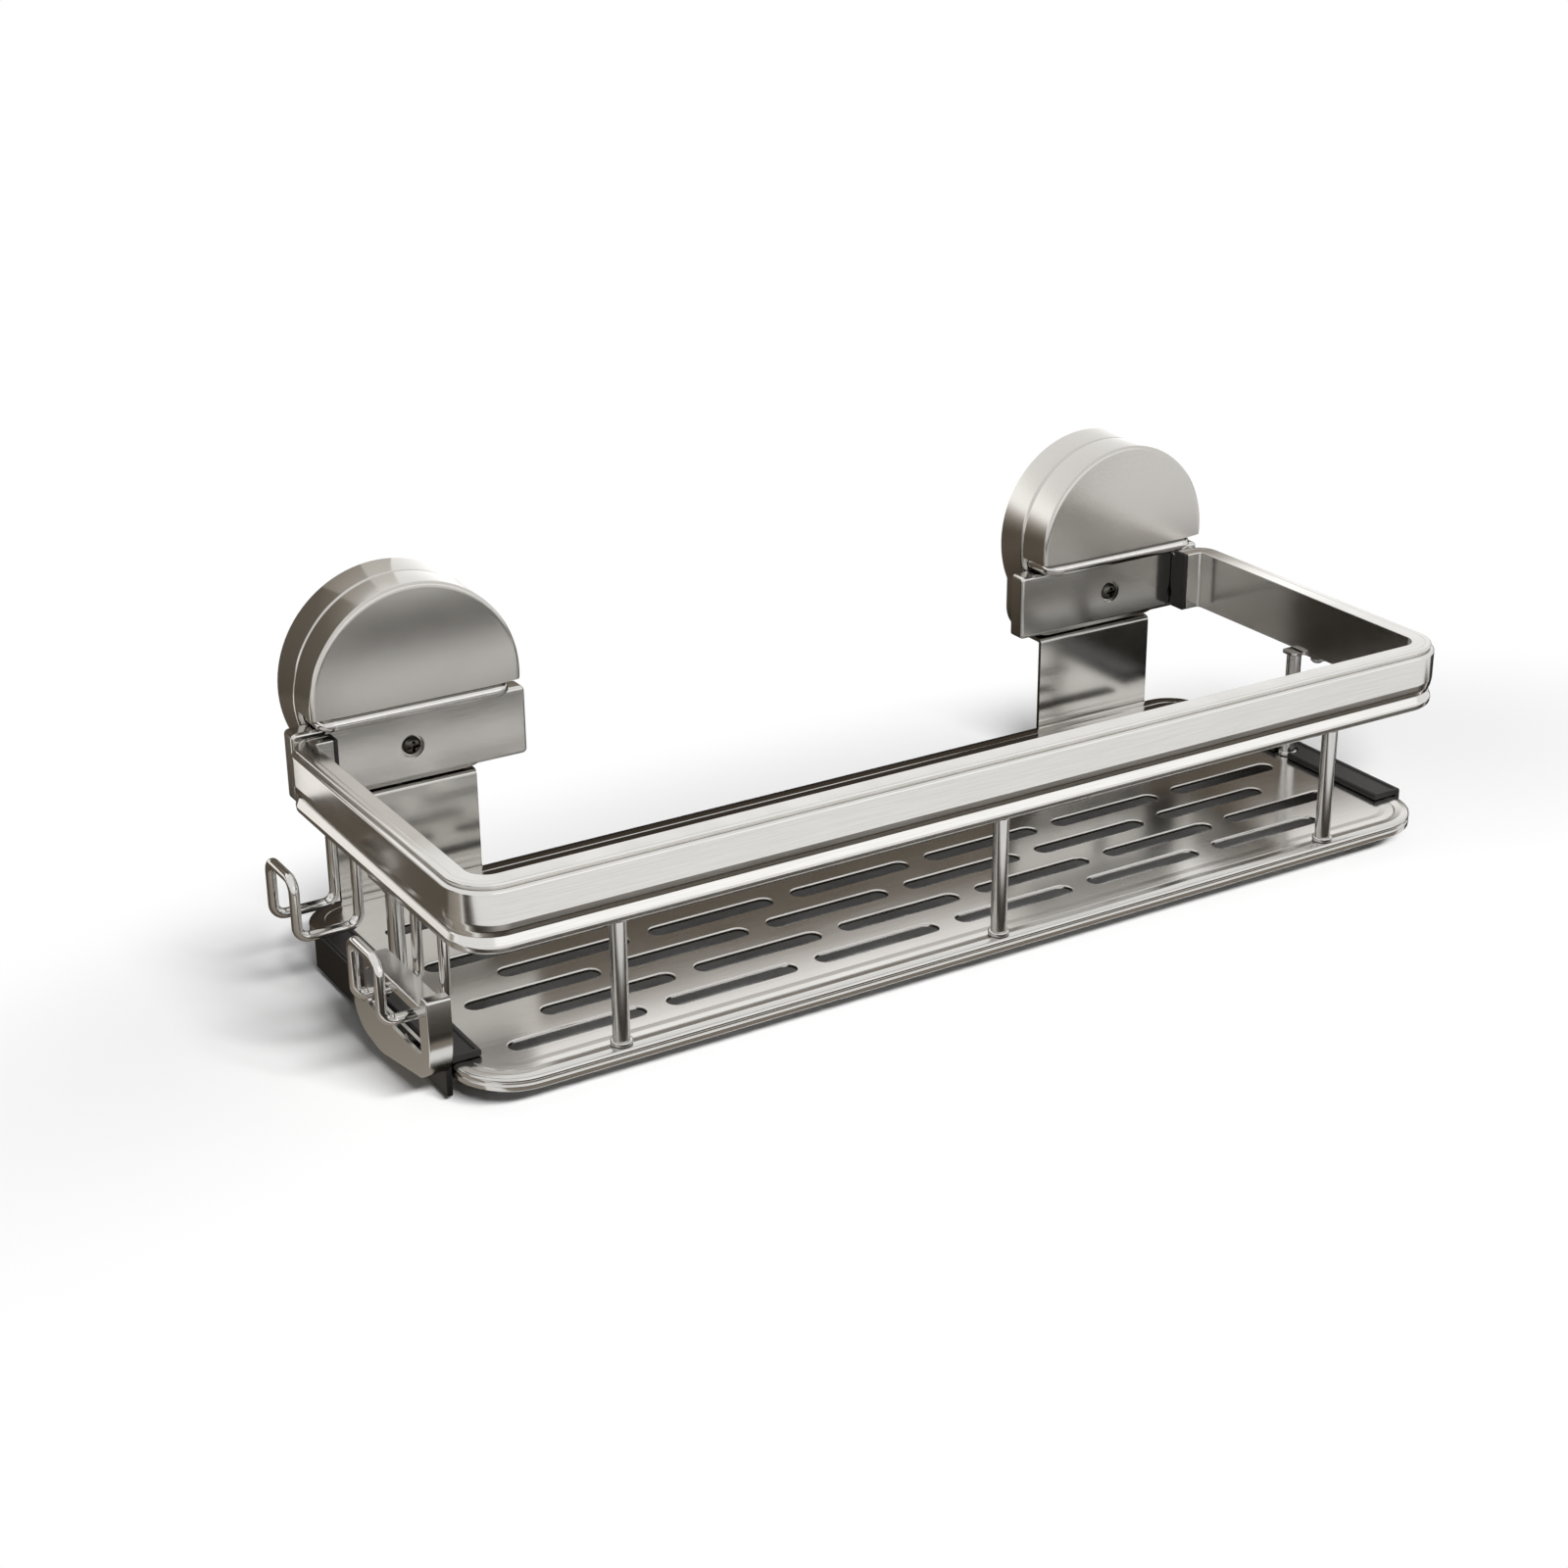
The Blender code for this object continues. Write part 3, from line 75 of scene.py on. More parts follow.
# Open section of the tray's border from its flat out to the bead and back under:
# inset from the edge, height over the flat, corner radius
RIM_SECTION = (
    (11.5, 0.0, 0.0), (10.6, 0.0, 3.0), (8.2, 0.06, 3.0), (5.7, 0.06, 0.3), (5.4, -0.14, 0.12),
    (5.1, 0.06, 0.3), (2.6, 0.22, 5.0), (0.0, 0.0, 0.9), (0.0, -1.3, 0.3), (0.5, -1.6, 0.15),
    (0.5, -2.2, 0.15), (0.05, -2.6, 0.4), (0.05, -4.4, 0.4), (1.3, -4.4, 0.3), (1.3, -1.2, 0.4),
    (11.5, -1.2, 0.0),
)

# Drain slots: size, pitch, depth of the punch, and the radius of their rolled edge
DRAIN_LENGTH = 46.5
DRAIN_WIDTH = 6.8
DRAIN_PITCH = 54.5
DRAIN_ROW_PITCH = 15.2
DRAIN_FIRST_ROW = 20.2
DRAIN_STAGGER = 18.6
DRAIN_ROWS = 8
DRAIN_COLUMNS = 6
DRAIN_DEPTH = 3.0
DRAIN_EDGE = 0.45

# Posts
FRONT_POST_X = 139.0
FRONT_POST_Y = -151.6
SIDE_POST_X = 181.6
SIDE_POST_Y = -84.8
POST_FOOT = -73.9
POST_TOP = -32.5
POST_RADIUS = 2.7
POST_SIDES = 36
COLLAR_RADIUS = 3.5
COLLAR_HEIGHT = 1.4
STUD_RADIUS = 1.6
STUD_HEIGHT = 4.2

# Foot plate on top of the left side post: thickness, edge, screw, outline with corner radii
FOOT_PLATE = 1.2
FOOT_EDGE = 0.15
FOOT_SCREW_X = 185.8
FOOT_SCREW_Y = -92.8
FOOT_OUTLINE = (
    (-188.7, -97.8, 1.6), (-183.3, -97.8, 1.6), (-183.3, -88.3, 1.0),
    (-178.1, -88.3, 1.6), (-178.1, -81.3, 1.6), (-188.7, -81.3, 1.6),
)

# Edge strips
STRIP_FRONT = -136.3
STRIP_REAR = -34.8
STRIP_FLANGE = 12.0
STRIP_SKIRT = 2.0
STRIP_TOP = -71.6
STRIP_SEAT = -73.9
STRIP_LOW = -84.6
STRIP_BORDER = 0.9
STRIP_RECESS = 0.6
STRIP_NOTCH = 3.8
STRIP_EDGE = 0.35

# Suction mounts: housing, with the wall left at its sides and behind its face
MOUNT_X = 144.9
HOUSING_RADIUS = 37.9
HOUSING_HALF_WIDTH = 34.7
HOUSING_DROP = 38.2
HOUSING_CORNER = 12.0
HOUSING_REAR = 0.8
HOUSING_FRONT = 13.3
HOUSING_TAPER = 0.9735
HOUSING_EDGE = 1.9
HOUSING_WALL = 1.1
HOUSING_FACE = 2.0
PRESS_OUTER = 27.0
PRESS_INNER = 25.0
PRESS_REAR = 3.1
PRESS_FRONT = 11.7
BOSS_RADIUS = 5.0
BOSS_REAR = 12.9
SCREW_SEAT = 18.3
ARM_HOLE = 2.7
ARM_HOLE_REAR = 9.0
ARM_HOLE_FRONT = 15.0

# Half sections of the pad and of the yoke's core: radius, height over the wall, corner radius
PAD_PROFILE = (
    (8.3, 1.2, 0), (26.8, 1.2, 1.5), (28.0, 0.15, 0.1), (28.6, 0.0, 0.2), (29.6, 0.0, 0.2),
    (30.0, 0.3, 0.2), (30.4, 0.0, 0.2), (31.6, 0.0, 0.2), (32.0, 0.3, 0.2), (32.4, 0.0, 0.2),
    (33.6, 0.0, 0.2), (34.0, 0.3, 0.2), (34.4, 0.0, 0.2), (35.9, 0.0, 0.1), (36.0, 1.2, 0.5),
    (34.8, 2.8, 0.5), (8.3, 2.8, 0.3),
)
CORE_PROFILE = (
    (0, 3.2, 0), (8, 3.2, 0.8), (8, 8.8, 0), (10, 8.8, 0.3), (10, 10.8, 0.4), (0, 10.8, 0),
)

# Flat bar of the yoke, from its rear to its front
YOKE_OUTLINE = ((-34.1, -9.9, 3.7), (34.1, -9.9, 3.7), (34.1, -1.9, 3.7), (-34.1, -1.9, 3.7))
YOKE_REAR = 9.2
YOKE_FRONT = 10.4

# Bail under the lever
BAR_RADIUS = 2.4
BAR_OUT = 25.6
BAR_HEIGHT = -5.9
ARM_X = 32.0
ARM_END = 11.1
BAIL_BEND = 4.0

# Lever, with the ears that grip the bail's bar
LEVER_RADIUS = 37.2
LEVER_CHORD = -3.15
LEVER_REAR = 13.8
LEVER_FRONT = 28.1
LEVER_WALL = 1.6
LEVER_EDGE = 1.3
LEVER_SIDES = 144
EAR_X = 20.0
EAR_HALF_WIDTH = 5.0
EAR_INNER = 2.7
EAR_OUTER = 4.5
EAR_START = radians(80)
EAR_END = radians(-45)
EAR_SHELF = 3.55

# Soft crown of the lever's face: how far in it goes, how high it rises, and in how many steps
CROWN_WIDTH = 11.2
CROWN_RISE = 0.95
CROWN_STEPS = 16

# Rounding of the lever's lower edge in two steps: inwards, down
LOWER_EDGE = ((0.12, 0.28), (0.28, 0.12))

# Front plates and hangers
PLATE_HALF_WIDTH = 41.7
PLATE_TOP = -8.8
PLATE_LOW = -33.1
PLATE_REAR = 13.6
PLATE_FRONT = 20.1
PLATE_SHEET = 1.5
PLATE_CORNER = 1.6
PLATE_EDGE = 1.2
PLATE_SCREW_HEIGHT = -21.6
PLATE_SCREW_HOLE = 4.2
RAIL_SCREW_X = 179.4
RAIL_SCREW_HEIGHT = -20.5
HANGER_HALF_WIDTH = 26.0
HANGER_LOW = -78.6
HANGER_TOP = -38.5
HANGER_OUT = 12.0
HANGER_SHEET = 1.5
HANGER_BEND = 1.7
HANGER_CORNER = 4.0
HANGER_EDGE = 0.25
HANGER_SCREW_SPREAD = 16.0
RIM_SCREW_OUT = 10.2
RIM_SCREW_HEIGHT = -77.0
BASE_SCREW_OUT = 5.8
BASE_SCREW_HEIGHT = -40.3

# Pan-head screws: head radius and height, shank radius and length, cross, sides. The head's
# top is flat over a share of its radius, and its side begins at a share of its height
LARGE_SCREW = (3.2, 2.4, 2.0, 9.0, 5.0, 40)
SMALL_SCREW = (2.5, 1.6, 1.5, 4.4, 2.9, 28)
TINY_SCREW = (1.8, 1.2, 1.0, 5.0, 2.0, 24)
HEAD_FLAT = 0.62
HEAD_SIDE = 0.45
HEAD_GAP = 0.3

# Cross recess: its depth as a share of the head, its length over half its arm's width, and how
# much narrower its floor is
RECESS_DEPTH = 0.6
RECESS_SLENDER = 7
RECESS_TAPER = 0.55

# Hooks
WIRE_RADIUS = 1.7
HOOK_X = -185.8
HOOK_LOOP_X = -206.5
HOOK_HALF_SPREAD = 9.8
HOOK_ARM_HEIGHT = -57.3
HOOK_LOOP_HEIGHT = -37.7
HOOK_BEND = 4.0
HOOK_TOP = -31.0
REAR_HOOK_Y = -55.5
FRONT_HOOK_Y = -120.7
SLIDER_HALF_WIDTH = 2.35
SLIDER_HALF_LENGTH = 14.4
SLIDER_LOW = -30.7
SLIDER_TOP = -26.7
SLIDER_EDGE = 0.6

# Side pocket: outer face, inner face, and its outline from the front top corner down and back up
POCKET_OUTER = -198.0
POCKET_INNER = -190.3
POCKET_SHEET = 1.2
POCKET_OUTLINE = (
    (-143.9, -47.6, 0.8), (-144.1, -62.6, 30.0), (-141.3, -72.6, 8.0), (-136.0, -75.9, 6.0),
    (-105.3, -81.3, 20.0), (-92.0, -78.9, 12.0), (-86.7, -73.0, 6.0), (-86.7, -67.6, 1.0),
    (-96.3, -67.6, 1.5), (-96.3, -51.1, 1.5), (-138.4, -51.1, 1.0), (-139.6, -47.6, 0.8),
)
POCKET_WINDOW = (
    (-137.9, -67.6, 2.0), (-98.7, -67.6, 2.0), (-98.7, -54.1, 2.0), (-137.9, -54.1, 2.0),
)
POCKET_EDGE = 0.7
POCKET_RIM = 1.3
POCKET_FLOOR = -72.4
POCKET_SCREWS = (-109.1, -101.1)

# Camera at the photograph's angle: turn, tilt, roll, place in metres, and in pixels of the
# photograph its focal length, principal point and frame
YAW = radians(31.40)
PITCH = radians(22.92)
ROLL = radians(-0.43)
CAMERA_PLACE = (-0.46545, -0.78736, 0.31404)
FOCAL = 2738.3
PRINCIPAL_POINT = (810.8, 792.3)
PHOTO_SIDE = 1600
SENSOR = 36

# Grain of the metals: how closely its lines lie along X, Y and Z, as a share
ALONG_THE_RAIL = (0.02, 0.02, 1.0)
ALONG_X = (0.02, 1.0, 1.0)
DOWN_THE_ROD = (1.0, 1.0, 0.05)
ALL_ROUND = (1.0, 1.0, 1.0)

# Studio
FLOOR_HEIGHT = -86.6
FLOOR_SIZE = 9000

# Round the basket the lit floor turns to plain background: middle, narrowing along X, and the
# distances between which it does
FADE_MIDDLE = (0, -112, 0)
FADE_SCALE = (0.45, 1, 0)
FLOOR_FADE = (105, 190)

# Cards that only reflections see: name, middle, width and depth (or height), upright,
# tones at their front or low edge and at their rear or high edge, strength
CARDS = (
    ("dark_card_behind", (112, -66, -85.6), (606, 172), False, "#1f1c17", "#1f1c17", 1.0),
    ("brown_card_left", (-446, -20, -85.6), (510, 80), False, "#5f584f", "#5f584f", 1.0),
    ("grey_card_left", (-446, -106, -85.6), (510, 92), False, "#aaa39a", "#8d867c", 1.0),
    ("brown_wall_left", (-450, 19, -69), (510, 35), True, "#5f584f", "#5f584f", 1.0),
    ("light_wall_left", (-457, 19, -33), (500, 32), True, "#f4f2ee", "#f4f2ee", 1.3),
    ("brown_card_by_mount", (-188, 3, 15), (50, 38), True, "#5f584f", "#736c63", 1.0),
    ("grey_card_over_mount", (-190, 3, 42), (48, 16), True, "#736c63", "#9d968d", 1.0),
    ("pale_card_over_mount", (-158, 3, 42), (16, 16), True, "#9d968d", "#c9c5bf", 1.0),
    ("light_card_over_mount", (-144, 3, 42), (12, 16), True, "#c9c5bf", "#e4e1dc", 1.1),
    ("front_light_card", (350, -1100, 340), (1600, 600), True, "#ffffff", "#ffffff", 1.35),
)

# Dark card in front of the rail: middle, size, and tones from its front edge to its rear edge
FRONT_CARD = ((-20, -196, -85.6), (760, 66))
FRONT_TONES = (
    (0.0, "#ffffff"), (0.1, "#b5b0aa"), (0.24, "#57524b"), (0.5, "#3e3a34"), (0.76, "#2f2b26"),
    (0.86, "#8d867c"), (1.0, "#8d867c"),
)

# Backdrop that only reflections see, with its tones by height
BACKDROP_MIDDLE = (0, 20, 500)
BACKDROP_SIZE = (2400, 1173)
BACKDROP_STRENGTH = 1.6
BACKDROP_TONES = (
    (-86, "#1e1b17"), (-58, "#2a2621"), (-36, "#463f37"), (-14, "#554e45"), (2, "#4f483f"),
    (8, "#69625a"), (13, "#837d77"), (20, "#c4c1bd"), (25, "#ffffff"), (36, "#fafafa"),
    (50, "#dedede"), (90, "#d3d3d3"), (200, "#d0d0d0"),
)

# Light from all round, and one soft lamp in front: place, aim, size, power in watts
FILL = 0.12
LAMP_PLACE = (-60, -1174, 813)
LAMP_AIM = (0, -80, -80)
LAMP_SIZE = (900, 160)
LAMP_POWER = 30.0


def mm(*values):
    """Millimetres to a vector in metres."""
    return Vector(values) / 1000


def release():
    """Leave edit mode with nothing selected."""
    if bpy.context.mode != "OBJECT":
        bpy.ops.object.mode_set(mode="OBJECT")
    bpy.ops.object.select_all(action="DESELECT")


def pick(*pieces):
    """Select these pieces alone, the first one active."""
    release()
    for piece in pieces:
        piece.select_set(True)
    bpy.context.view_layer.objects.active = pieces[0]


def edit(piece, mode="FACE"):
    """Open a piece for editing with nothing selected."""
    pick(piece)
    bpy.ops.object.mode_set(mode="EDIT")
    bpy.ops.mesh.select_mode(type=mode)
    bpy.ops.mesh.select_all(action="DESELECT")


def close():
    """Merge doubles, turn all faces outwards and leave edit mode."""
    bpy.ops.mesh.select_all(action="SELECT")
    bpy.ops.mesh.remove_doubles(threshold=WELD)
    bpy.ops.mesh.delete_loose()
    bpy.ops.mesh.select_all(action="SELECT")
    bpy.ops.mesh.normals_make_consistent(inside=False)
    release()


def choose(piece, wanted):
    """Select the faces of an open piece whose centre and normal pass a test."""
    bpy.ops.object.mode_set(mode="OBJECT")
    for face in piece.data.polygons:
        face.select = wanted(face.center * 1000, face.normal)
    bpy.ops.object.mode_set(mode="EDIT")


def arc(centre, radius, start, end, steps):
    """Points along an arc in a plane."""
    angles = [start + (end - start) * k / steps for k in range(steps + 1)]
    return [(centre[0] + radius * cos(a), centre[1] + radius * sin(a)) for a in angles]


def rounded(corners, steps=6, closed=True):
    """Outline through (u, v, radius) corners, each rounded by its own radius."""
    outline = []
    for k, (u, v, radius) in enumerate(corners):
        end = not closed and k in (0, len(corners) - 1)
        if end or not radius:
            outline.append((u, v))
            continue
        here = Vector((u, v))
        back = (Vector(corners[k - 1][:2]) - here).normalized()
        ahead = (Vector(corners[(k + 1) % len(corners)][:2]) - here).normalized()
        half = back.angle(ahead) / 2
        centre = here + (back + ahead).normalized() * radius / sin(half)
        first = here + back * radius / tan(half) - centre
        last = here + ahead * radius / tan(half) - centre
        start = atan2(first.y, first.x)
        turn = (atan2(last.y, last.x) - start + pi) % (2 * pi) - pi
        outline += arc(centre, radius, start, start + turn, steps)
    return outline


def circle(u, v, radius, steps):
    """Outline of a full circle."""
    return arc((u, v), radius, 0, 2 * pi, steps)[:-1]


def section(name, points, fill="NGON"):
    """A circle with one corner for each point of an outline, moved to those points."""
    release()
    bpy.ops.mesh.primitive_circle_add(vertices=len(points), radius=0.01, fill_type=fill)
    piece = bpy.context.object
    piece.name = piece.data.name = name
    for corner, point in zip(piece.data.vertices, points):
        corner.co = mm(*point)
    return piece


def straight(*by):
    """Extrude what is selected along a straight stretch."""
    bpy.ops.mesh.extrude_region_move(TRANSFORM_OT_translate={"value": mm(*by)})


def inset(by):
    """Inset what is selected."""
    bpy.ops.mesh.inset(thickness=by / 1000)


def bevel(by, segments=4):
    """Round the edges of what is selected."""
    bpy.ops.mesh.bevel(offset=by / 1000, segments=segments, affect="EDGES")


def turn(centre, axis, angle, steps):
    """Spin what is selected round a bend."""
    bpy.ops.mesh.spin(steps=steps, angle=-radians(angle), center=mm(*centre), axis=axis)


def slab(name, outline, low, high, plane="xy"):
    """Extrude an outline between two depths: xy outlines rise, xz ones stand out from the wall,
    and yz ones run along X."""
    place = {
        "xy": lambda u, v, w: (u, v, w),
        "xz": lambda u, v, w: (u, -w, v),
        "yz": lambda u, v, w: (w, u, v),
    }[plane]
    piece = section(name, [place(u, v, low) for u, v in outline])
    edit(piece)
    bpy.ops.mesh.select_all(action="SELECT")
    straight(*place(0, 0, high - low))
    close()
    return piece


def lathe(name, corners, steps, soft=3):
    """Turn a half section of (radius, height, rounding) corners about the Z axis."""
    piece = section(name, [(u, 0, v) for u, v in rounded(corners, soft)], "NOTHING")
    edit(piece, "VERT")
    bpy.ops.mesh.select_all(action="SELECT")
    turn((0, 0, 0), (0, 0, 1), 360, steps)
    close()
    return piece


def placed(piece, location, rotation=(0, 0, 0)):
    """Turn a piece made at the origin, move it to its place, and keep that in its mesh."""
    pick(piece)
    piece.rotation_euler = [radians(angle) for angle in rotation]
    piece.location = mm(*location)
    bpy.ops.object.transform_apply(location=True, rotation=True, scale=True)
    return piece


def copied(piece, name, shift):
    """A copy of a finished piece, moved sideways, with a mesh of its own."""
    pick(piece)
    bpy.ops.object.duplicate()
    twin = bpy.context.object
    twin.name = twin.data.name = name
    return placed(twin, shift)


def mirrored(piece, name):
    """The right-hand twin of a left-hand piece."""
    pick(piece)
    bpy.ops.object.duplicate()
    twin = bpy.context.object
    twin.name = twin.data.name = name
    twin.scale = (-1, 1, 1)
    bpy.ops.object.transform_apply(location=False, rotation=False, scale=True)
    edit(twin)
    close()
    return twin


def cut(piece, tool, operation="DIFFERENCE"):
    """Cut a tool out of a piece, or join it on, and drop the tool."""
    pick(piece)
    change = piece.modifiers.new("change", "BOOLEAN")
    change.operation = operation
    change.solver = "EXACT"
    change.object = tool
    bpy.ops.object.modifier_apply(modifier="change")
    bpy.data.objects.remove(tool)
    return piece


def joined(name, pieces):
    """Join loose shells into one piece."""
    pick(*pieces)
    bpy.ops.object.join()
    result = bpy.context.object
    result.name = result.data.name = name
    return result


def softened(piece, width, segments=2, limit=40):
    """Round every edge sharper than a limit."""
    pick(piece)
    edge = piece.modifiers.new("edge", "BEVEL")
    edge.width = width / 1000
    edge.segments = segments
    edge.limit_method = "ANGLE"
    edge.angle_limit = radians(limit)
    bpy.ops.object.modifier_apply(modifier="edge")
    return piece


def ring(name, wire, start, corners, steps):
    """Run an open wire round a closed path of right-angled left-hand bends in plan.

    The path starts along X in the middle of its front. Each corner gives (x, y, radius): the
    bend's centre and its radius on the path.
    """
    piece = section(name, [(start, v, w) for v, w in wire], "NOTHING")
    ends = {0, len(wire) - 1}
    for number, side in enumerate(piece.data.edges):
        if set(side.vertices) == ends:
            spare = number
    edit(piece, "EDGE")
    bpy.ops.object.mode_set(mode="OBJECT")
    piece.data.edges[spare].select = True
    bpy.ops.object.mode_set(mode="EDIT")
    bpy.ops.mesh.delete(type="EDGE")
    bpy.ops.mesh.select_all(action="SELECT")
    here = Vector((start, corners[0][1] - corners[0][2], 0))
    way = Vector((1, 0, 0))
    for x, y, radius in corners:
        onward = Vector((-way.y, way.x, 0))
        entry = Vector((x, y, 0)) - onward * radius
        if (entry - here).length:
            straight(*(entry - here))
        turn((x, y, 0), (0, 0, 1), 90, steps)
        here = Vector((x, y, 0)) + way * radius
        way = onward
    straight(*(Vector((start, here.y, 0)) - here))
    bpy.ops.mesh.select_all(action="SELECT")
    bpy.ops.mesh.remove_doubles(threshold=WELD)
    bpy.ops.mesh.select_all(action="SELECT")
    bpy.ops.mesh.fill_holes(sides=0)
    close()
    return piece


def round_bar(name, corners, radius, bend, steps, sides):
    """Round wire through corner points, with every bend square and of one radius."""
    points = [Vector(corner) for corner in corners]
    along = (points[1] - points[0]).normalized()
    side = along.orthogonal().normalized()
    upward = along.cross(side)
    angles = [2 * pi * k / sides for k in range(sides)]
    bar = section(name, [
        points[0] + side * radius * cos(a) + upward * radius * sin(a) for a in angles
    ])
    edit(bar)
    bpy.ops.mesh.select_all(action="SELECT")
    here = points[0]
    for corner, after in zip(points[1:], points[2:]):
        onward = (after - corner).normalized()
        entry = corner - along * bend
        straight(*(entry - here))
        turn(entry + onward * bend, along.cross(onward), 90, steps)
        here = corner + onward * bend
        along = onward
    straight(*(points[-1] - here))
    close()
    return softened(bar, radius / 6, 2, 60)


def drawn_in(corners, by):
    """Outline of rounded corners moved inwards by mitred corners, with their radii to suit."""
    result = []
    for k, (u, v, radius) in enumerate(corners):
        here = Vector((u, v))
        back = (here - Vector(corners[k - 1][:2])).normalized()
        ahead = (Vector(corners[(k + 1) % len(corners)][:2]) - here).normalized()
        inward = Vector((-(back.y + ahead.y), back.x + ahead.x)).normalized()
        stretch = 1 / inward.dot(Vector((-back.y, back.x)))
        bulges = back.cross(ahead) > 0
        moved = here + inward * by * stretch
        result.append((moved.x, moved.y, max(radius - by, 0.3) if bulges else radius + by))
    return result


def dressed(piece, material, body, nodes, sharp=38):
    """Shade a piece, give it its material, and put it in the place of its CAD nodes."""
    pick(piece)
    bpy.ops.object.shade_smooth_by_angle(angle=radians(sharp))
    even = piece.modifiers.new("even", "WEIGHTED_NORMAL")
    even.keep_sharp = True
    even.weight = 60
    bpy.ops.object.modifier_apply(modifier="even")
    piece.data.materials.clear()
    piece.data.materials.append(material)
    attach(piece, body)
    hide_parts(*nodes)
    return piece


def pair(piece, name, material, body, stands_for, x=0, sharp=38):
    """Move a left-hand piece along X to its place, mirror it for the right, and dress both."""
    placed(piece, (x, 0, 0))
    piece.name = piece.data.name = "left_" + name
    twin = mirrored(piece, "right_" + name)
    for hand, one in (("left_", piece), ("right_", twin)):
        rides = body if body == "basket" else hand + body
        dressed(one, material, rides, [hand + stands_for], sharp)


def tint(code):
    """An sRGB hex colour as linear red, green, blue and alpha."""
    parts = [int(code[k:k + 2], 16) / 255 for k in (1, 3, 5)]
    return [c / 12.92 if c <= 0.04045 else ((c + 0.055) / 1.055) ** 2.4 for c in parts] + [1]


def node(tree, kind, settings=None, stops=(), **links):
    """Add a node with its settings, its colour stops, and a link or value for each input.

    An input goes by its name, with _ for a space, or by its number, as in _0.
    """
    new = tree.nodes.new(kind)
    for key, value in (settings or {}).items():
        setattr(new, key, value)
    for k in range(2, len(stops)):
        new.color_ramp.elements.new(0.5)
    for k, (position, code) in enumerate(stops):
        new.color_ramp.elements[k].position = position
        new.color_ramp.elements[k].color = tint(code)
    for key, value in links.items():
        number = key[1:]
        socket = new.inputs[int(number) if number.isdigit() else key.replace("_", " ")]
        if isinstance(value, bpy.types.Node):
            value = value.outputs[0]
        if isinstance(value, bpy.types.NodeSocket):
            tree.links.new(value, socket)
        else:
            socket.default_value = value
    return new


def blank(name):
    """A new material with a bare shader, together with its tree and that shader."""
    material = bpy.data.materials.new(name)
    material.use_nodes = True
    tree = material.node_tree
    return material, tree, tree.nodes["Principled BSDF"]


def metal(name, dark, light, rough, stretch, apart, depth, uneven=0.015):
    """A bare or coated metal: grain lines in its colour, roughness and bump, and faint clouds.

    The lines lie apart and are as deep as given in mm; the clouds are 40 mm wide.
    """
    material, tree, shader = blank(name)
    place = node(tree, "ShaderNodeTexCoord").outputs["Object"]
    along = node(tree, "ShaderNodeMapping", Vector=place, Scale=stretch)
    lines = node(
        tree, "ShaderNodeTexNoise", Vector=along, Scale=1000 / apart, Detail=3.0, Roughness=0.55,
    )
    clouds = node(tree, "ShaderNodeTexNoise", Vector=place, Scale=1000 / 40, Detail=2.0)
    colour = node(tree, "ShaderNodeValToRGB", stops=((0.32, dark), (0.68, light)), Fac=lines)
    fine = node(
        tree, "ShaderNodeMapRange",
        Value=lines, From_Min=0.3, From_Max=0.7, To_Min=rough - uneven, To_Max=rough + uneven,
    )
    broad = node(
        tree, "ShaderNodeMapRange",
        Value=clouds, From_Min=0.35, From_Max=0.65, To_Min=-uneven, To_Max=uneven,
    )
    total = node(tree, "ShaderNodeMath", {"operation": "ADD"}, _0=fine, _1=broad)
    bump = node(tree, "ShaderNodeBump", Height=lines, Strength=0.1, Distance=depth / 1000)
    tree.links.new(colour.outputs[0], shader.inputs["Base Color"])
    tree.links.new(total.outputs[0], shader.inputs["Roughness"])
    tree.links.new(bump.outputs[0], shader.inputs["Normal"])
    shader.inputs["Metallic"].default_value = 1.0
    return material


def polymer(name, dark, light, rough, apart, depth):
    """A moulded plastic or rubber: clouds in its colour, fine specks in its shine and bump.

    The specks lie apart and are as deep as given in mm; the clouds are 30 mm wide.
    """
    material, tree, shader = blank(name)
    place = node(tree, "ShaderNodeTexCoord").outputs["Object"]
    specks = node(tree, "ShaderNodeTexNoise", Vector=place, Scale=1000 / apart, Detail=2.0)
    clouds = node(tree, "ShaderNodeTexNoise", Vector=place, Scale=1000 / 30, Detail=2.0)
    colour = node(tree, "ShaderNodeValToRGB", stops=((0.35, dark), (0.65, light)), Fac=clouds)
    shine = node(
        tree, "ShaderNodeMapRange",
        Value=specks, From_Min=0.3, From_Max=0.7, To_Min=rough - 0.05, To_Max=rough + 0.05,
    )
    bump = node(tree, "ShaderNodeBump", Height=specks, Strength=0.3, Distance=depth / 1000)
    tree.links.new(colour.outputs[0], shader.inputs["Base Color"])
    tree.links.new(shine.outputs[0], shader.inputs["Roughness"])
    tree.links.new(bump.outputs[0], shader.inputs["Normal"])
    return material


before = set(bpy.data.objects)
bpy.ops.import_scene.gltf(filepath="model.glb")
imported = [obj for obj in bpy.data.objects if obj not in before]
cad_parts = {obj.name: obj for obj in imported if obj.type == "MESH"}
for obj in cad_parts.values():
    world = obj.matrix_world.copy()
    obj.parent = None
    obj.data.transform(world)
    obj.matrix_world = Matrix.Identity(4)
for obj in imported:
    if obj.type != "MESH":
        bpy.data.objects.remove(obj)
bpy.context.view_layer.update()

# Clear-coated brushed aluminium: pale, with hair lines along the rail. Real lines lie about
# 0.1 mm apart and are drawn 0.3 mm apart, so that they show
rail_metal = metal(
    "brushed_clear_coated_aluminium", "#d3d1cd", "#dcdad7", 0.17, ALONG_THE_RAIL, 0.3, 0.01,
)
